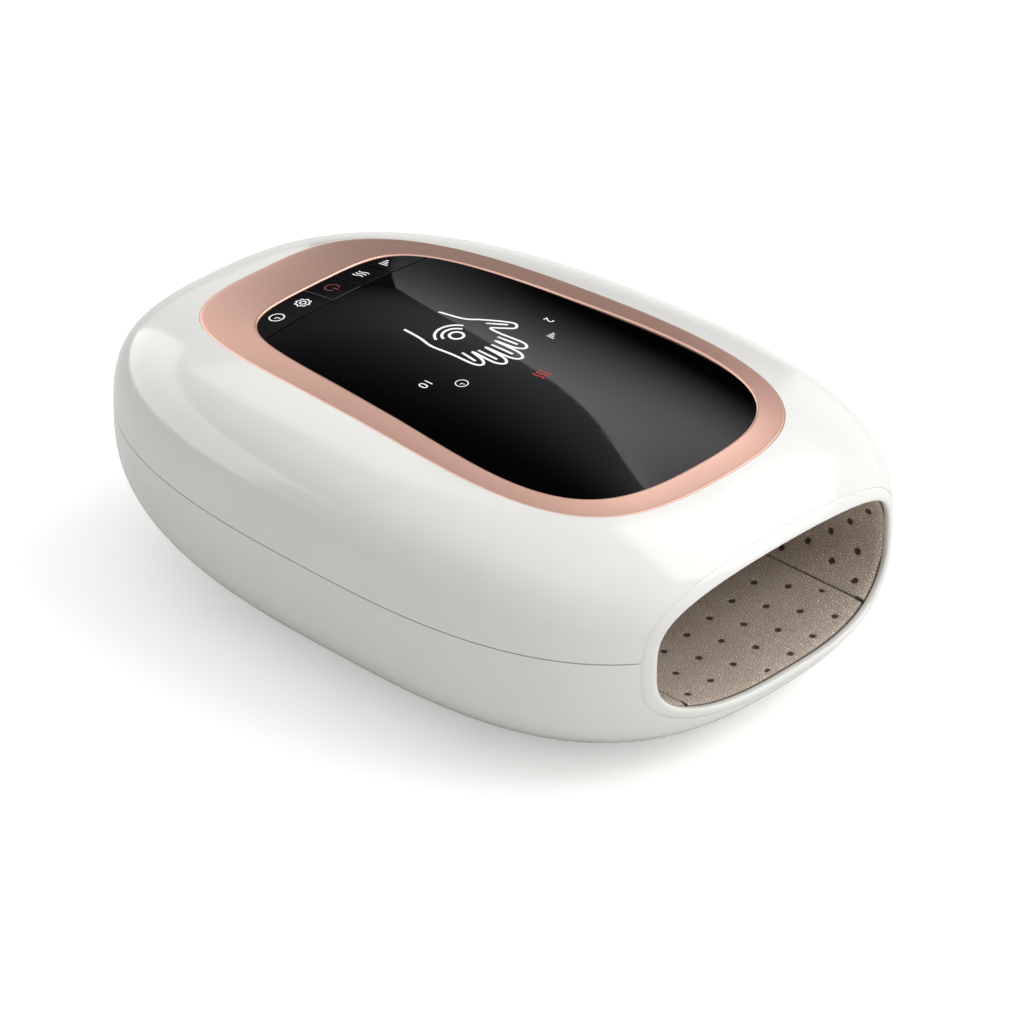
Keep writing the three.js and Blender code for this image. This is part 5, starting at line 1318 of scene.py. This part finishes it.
def white_floor(tree, place):
    path = add(tree, "ShaderNodeLightPath")
    seen = add(tree, "ShaderNodeMath",
               {0: path.outputs["Is Camera Ray"], 1: path.outputs["Is Transmission Ray"]},
               operation="MAXIMUM")
    shown = add(tree, "ShaderNodeMix", {0: seen, 6: paint("#F0F0EE"), 7: paint("#FFFFFF")}, data_type="RGBA")
    matt = add(tree, "ShaderNodeBsdfDiffuse", {"Color": shown})
    glow = add(tree, "ShaderNodeEmission", {"Color": (1, 1, 1, 1), "Strength": 0.34})
    both = add(tree, "ShaderNodeAddShader", {0: matt, 1: glow})
    return add(tree, "ShaderNodeMixShader", {0: seen, 1: matt, 2: both})


floor_sheet = bmesh.new()
bmesh.ops.create_grid(floor_sheet, x_segments=1, y_segments=1, size=6)
floor_mesh = bpy.data.meshes.new("studio_floor")
floor_sheet.to_mesh(floor_mesh)
floor_sheet.free()
studio_floor = bpy.data.objects.new("studio_floor", floor_mesh)
floor_mesh.materials.append(finish_named("studio_white", white_floor))
bpy.context.scene.collection.objects.link(studio_floor)

world = bpy.data.worlds.new("studio_air")
world.use_nodes = True
bpy.context.scene.world = world
air = world.node_tree
air.nodes.clear()
air_path = add(air, "ShaderNodeLightPath")
air_seen = add(air, "ShaderNodeMath",
               {0: air_path.outputs["Is Camera Ray"], 1: air_path.outputs["Is Glossy Ray"]},
               operation="MAXIMUM")
air_seen = add(air, "ShaderNodeMath", {0: air_seen, 1: air_path.outputs["Is Transmission Ray"]},
               operation="MAXIMUM")
from_where = add(air, "ShaderNodeTexCoord")
facing = add(air, "ShaderNodeVectorMath", {0: from_where.outputs["Generated"], 1: (0.7, -0.35, 0.5)},
             operation="DOT_PRODUCT")
level_there = add(air, "ShaderNodeMapRange", {0: facing, 1: -0.6, 2: 0.9, 3: 0.28, 4: 1.0})
lighting = add(air, "ShaderNodeBackground", {"Color": (1, 1, 0.99, 1), "Strength": level_there})
backdrop = add(air, "ShaderNodeBackground", {"Color": (1, 1, 1, 1), "Strength": 1.0})
air_mix = add(air, "ShaderNodeMixShader", {0: air_seen, 1: lighting, 2: backdrop})
add(air, "ShaderNodeOutputWorld", {"Surface": air_mix})


def soft_box(name, azimuth, elevation, distance, width, height, power, mirrored=True):
    """A rectangular lamp that faces the object, at angles in degrees, with lengths in metres."""
    lamp = bpy.data.lights.new(name, "AREA")
    lamp.shape, lamp.size, lamp.size_y, lamp.energy = "RECTANGLE", width, height, power
    holder = bpy.data.objects.new(name, lamp)
    turn, lift = math.radians(azimuth), math.radians(elevation)
    direction = Vector((math.cos(turn) * math.cos(lift), math.sin(turn) * math.cos(lift), math.sin(lift)))
    aimed = direction.to_track_quat("Z", "Y").to_matrix().to_4x4()
    holder.matrix_world = Matrix.Translation(direction * distance) @ aimed
    holder.visible_glossy = mirrored
    bpy.context.scene.collection.objects.link(holder)


def studio_card(name, azimuth, distance, corners, build):
    """An upright card round the object, at an azimuth in degrees, seen only in reflections. Its corners are
    given to its left, as the object faces it, and up, both in metres."""
    card = bmesh.new()
    bmesh.ops.contextual_create(card, geom=[card.verts.new((left, up, 0)) for left, up in corners])
    mesh = bpy.data.meshes.new(name)
    card.to_mesh(mesh)
    card.free()
    mesh.materials.append(finish_named(name, build))
    holder = bpy.data.objects.new(name, mesh)
    out = Vector((math.cos(math.radians(azimuth)), math.sin(math.radians(azimuth)), 0))
    facing = Matrix((Vector((-out.y, out.x, 0)), Vector((0, 0, 1)), out)).transposed().to_4x4()
    holder.matrix_world = Matrix.Translation(out * distance) @ facing
    for ray in ("camera", "diffuse", "shadow", "transmission"):
        setattr(holder, f"visible_{ray}", False)
    bpy.context.scene.collection.objects.link(holder)


def dark_scrim(tree, place):
    # What the pane mirrors: a scrim that pales upwards over a dull horizon, and black cloth with a cut edge
    # hung over its left and upper part, with a faint sheen. Lengths are in metres on the card.
    at = add(tree, "ShaderNodeSeparateXYZ", {0: place})
    beside = add(tree, "ShaderNodeMath", {0: 0.16, 1: at.outputs["X"]}, operation="SUBTRACT")
    beside = add(tree, "ShaderNodeMath", {0: beside, 1: 0.0}, operation="MAXIMUM")
    bend = add(tree, "ShaderNodeMath", {0: beside, 1: 0.4}, operation="POWER")
    lifted = add(tree, "ShaderNodeMapRange", {0: at.outputs["X"], 1: -0.1, 2: -0.6, 3: 0.0, 4: 0.072})
    far_end = add(tree, "ShaderNodeMapRange", {0: at.outputs["X"], 1: -0.655, 2: -0.72, 3: 0.0, 4: 0.25})
    edge = add(tree, "ShaderNodeMath", {0: bend, 1: 1.846, 2: lifted}, operation="MULTIPLY_ADD")
    edge = add(tree, "ShaderNodeMath", {0: edge, 1: far_end}, operation="ADD")
    selvedge = add(tree, "ShaderNodeMath", {0: at.outputs["X"], 1: 0.098}, operation="LESS_THAN")
    edge = add(tree, "ShaderNodeMath", {0: edge, 1: selvedge}, operation="MULTIPLY")
    cloth = add(tree, "ShaderNodeMath", {0: at.outputs["Y"], 1: edge}, operation="GREATER_THAN")
    rise = add(tree, "ShaderNodeVectorMath", {0: place, 1: (1.25, 1, 0)}, operation="DOT_PRODUCT")
    paler = add(tree, "ShaderNodeMapRange", {0: rise, 1: 0.25, 2: 0.97, 3: 0.0, 4: 1.0})
    paler = add(tree, "ShaderNodeMath", {0: paler, 1: 2.4}, operation="POWER")
    horizon = add(tree, "ShaderNodeMapRange", {0: at.outputs["Y"], 1: 0.1, 2: 0.22, 3: 0.45, 4: 0.0})
    scrim = add(tree, "ShaderNodeMath", {0: paler, 1: 1.45, 2: horizon}, operation="MULTIPLY_ADD")
    depth = add(tree, "ShaderNodeVectorMath", {0: place, 1: (1, 0.7, 0)}, operation="DOT_PRODUCT")
    fading = add(tree, "ShaderNodeMath", {0: depth, 1: -4.8, 2: 2.1}, operation="MULTIPLY_ADD")
    fading = add(tree, "ShaderNodeMath", {0: fading}, operation="EXPONENT")
    sheen = add(tree, "ShaderNodeMath", {0: fading, 1: 0.42}, operation="MINIMUM")
    hem = add(tree, "ShaderNodeMapRange", {0: at.outputs["Y"], 1: 0.6, 2: 0.88, 3: 0.05, 4: 1.0})
    sheen = add(tree, "ShaderNodeMath", {0: sheen, 1: hem}, operation="MULTIPLY")
    strength = add(tree, "ShaderNodeMix", {0: cloth, 2: scrim, 3: sheen}, data_type="FLOAT")
    return add(tree, "ShaderNodeEmission", {"Color": (1, 1, 1, 1), "Strength": strength})


def glowing(strength):
    def build(tree, place):
        return add(tree, "ShaderNodeEmission", {"Color": (1, 1, 1, 1), "Strength": strength})
    return build


scrim_outline = [
    (0.2, 0.0), (0.25, 0.36), (0.33, 0.5), (0.41, 0.65), (0.41, 1.0), (0.42, 1.5), (0.45, 2.0), (0.4, 2.28),
    (0.25, 2.42), (0.0, 2.41), (-0.22, 2.28), (-0.42, 2.09), (-0.58, 1.9), (-0.76, 1.82), (-0.72, 1.65),
    (-0.62, 1.15), (-0.51, 0.65), (-0.45, 0.0),
]
front_card = [(-1.5, 1.4), (-0.5, 1.4), (-0.5, 3.0), (-1.5, 3.0)]
left_card = [(1.2, 1.3), (1.2, 2.9), (0.2, 2.9), (0.2, 1.3)]
low_card = [(1.0, 0.0), (1.0, 0.95), (-1.0, 0.95), (-1.0, 0.0)]
behind_pane, behind_left = 42, 102
studio_card("dark_scrim", behind_pane, 1.5, scrim_outline, dark_scrim)
studio_card("front_reflector", behind_pane, 1.62, front_card, glowing(1.45))
studio_card("left_reflector", behind_pane, 1.66, left_card, glowing(2.0))
studio_card("strip_light", behind_left, 1.5, low_card, glowing(2.4))
soft_box("key_box", azimuth=-16, elevation=54, distance=1.3, width=0.8, height=0.58, power=3.1)
soft_box("front_box", azimuth=-75, elevation=46, distance=1.4, width=0.5, height=0.4, power=3.0,
         mirrored=False)
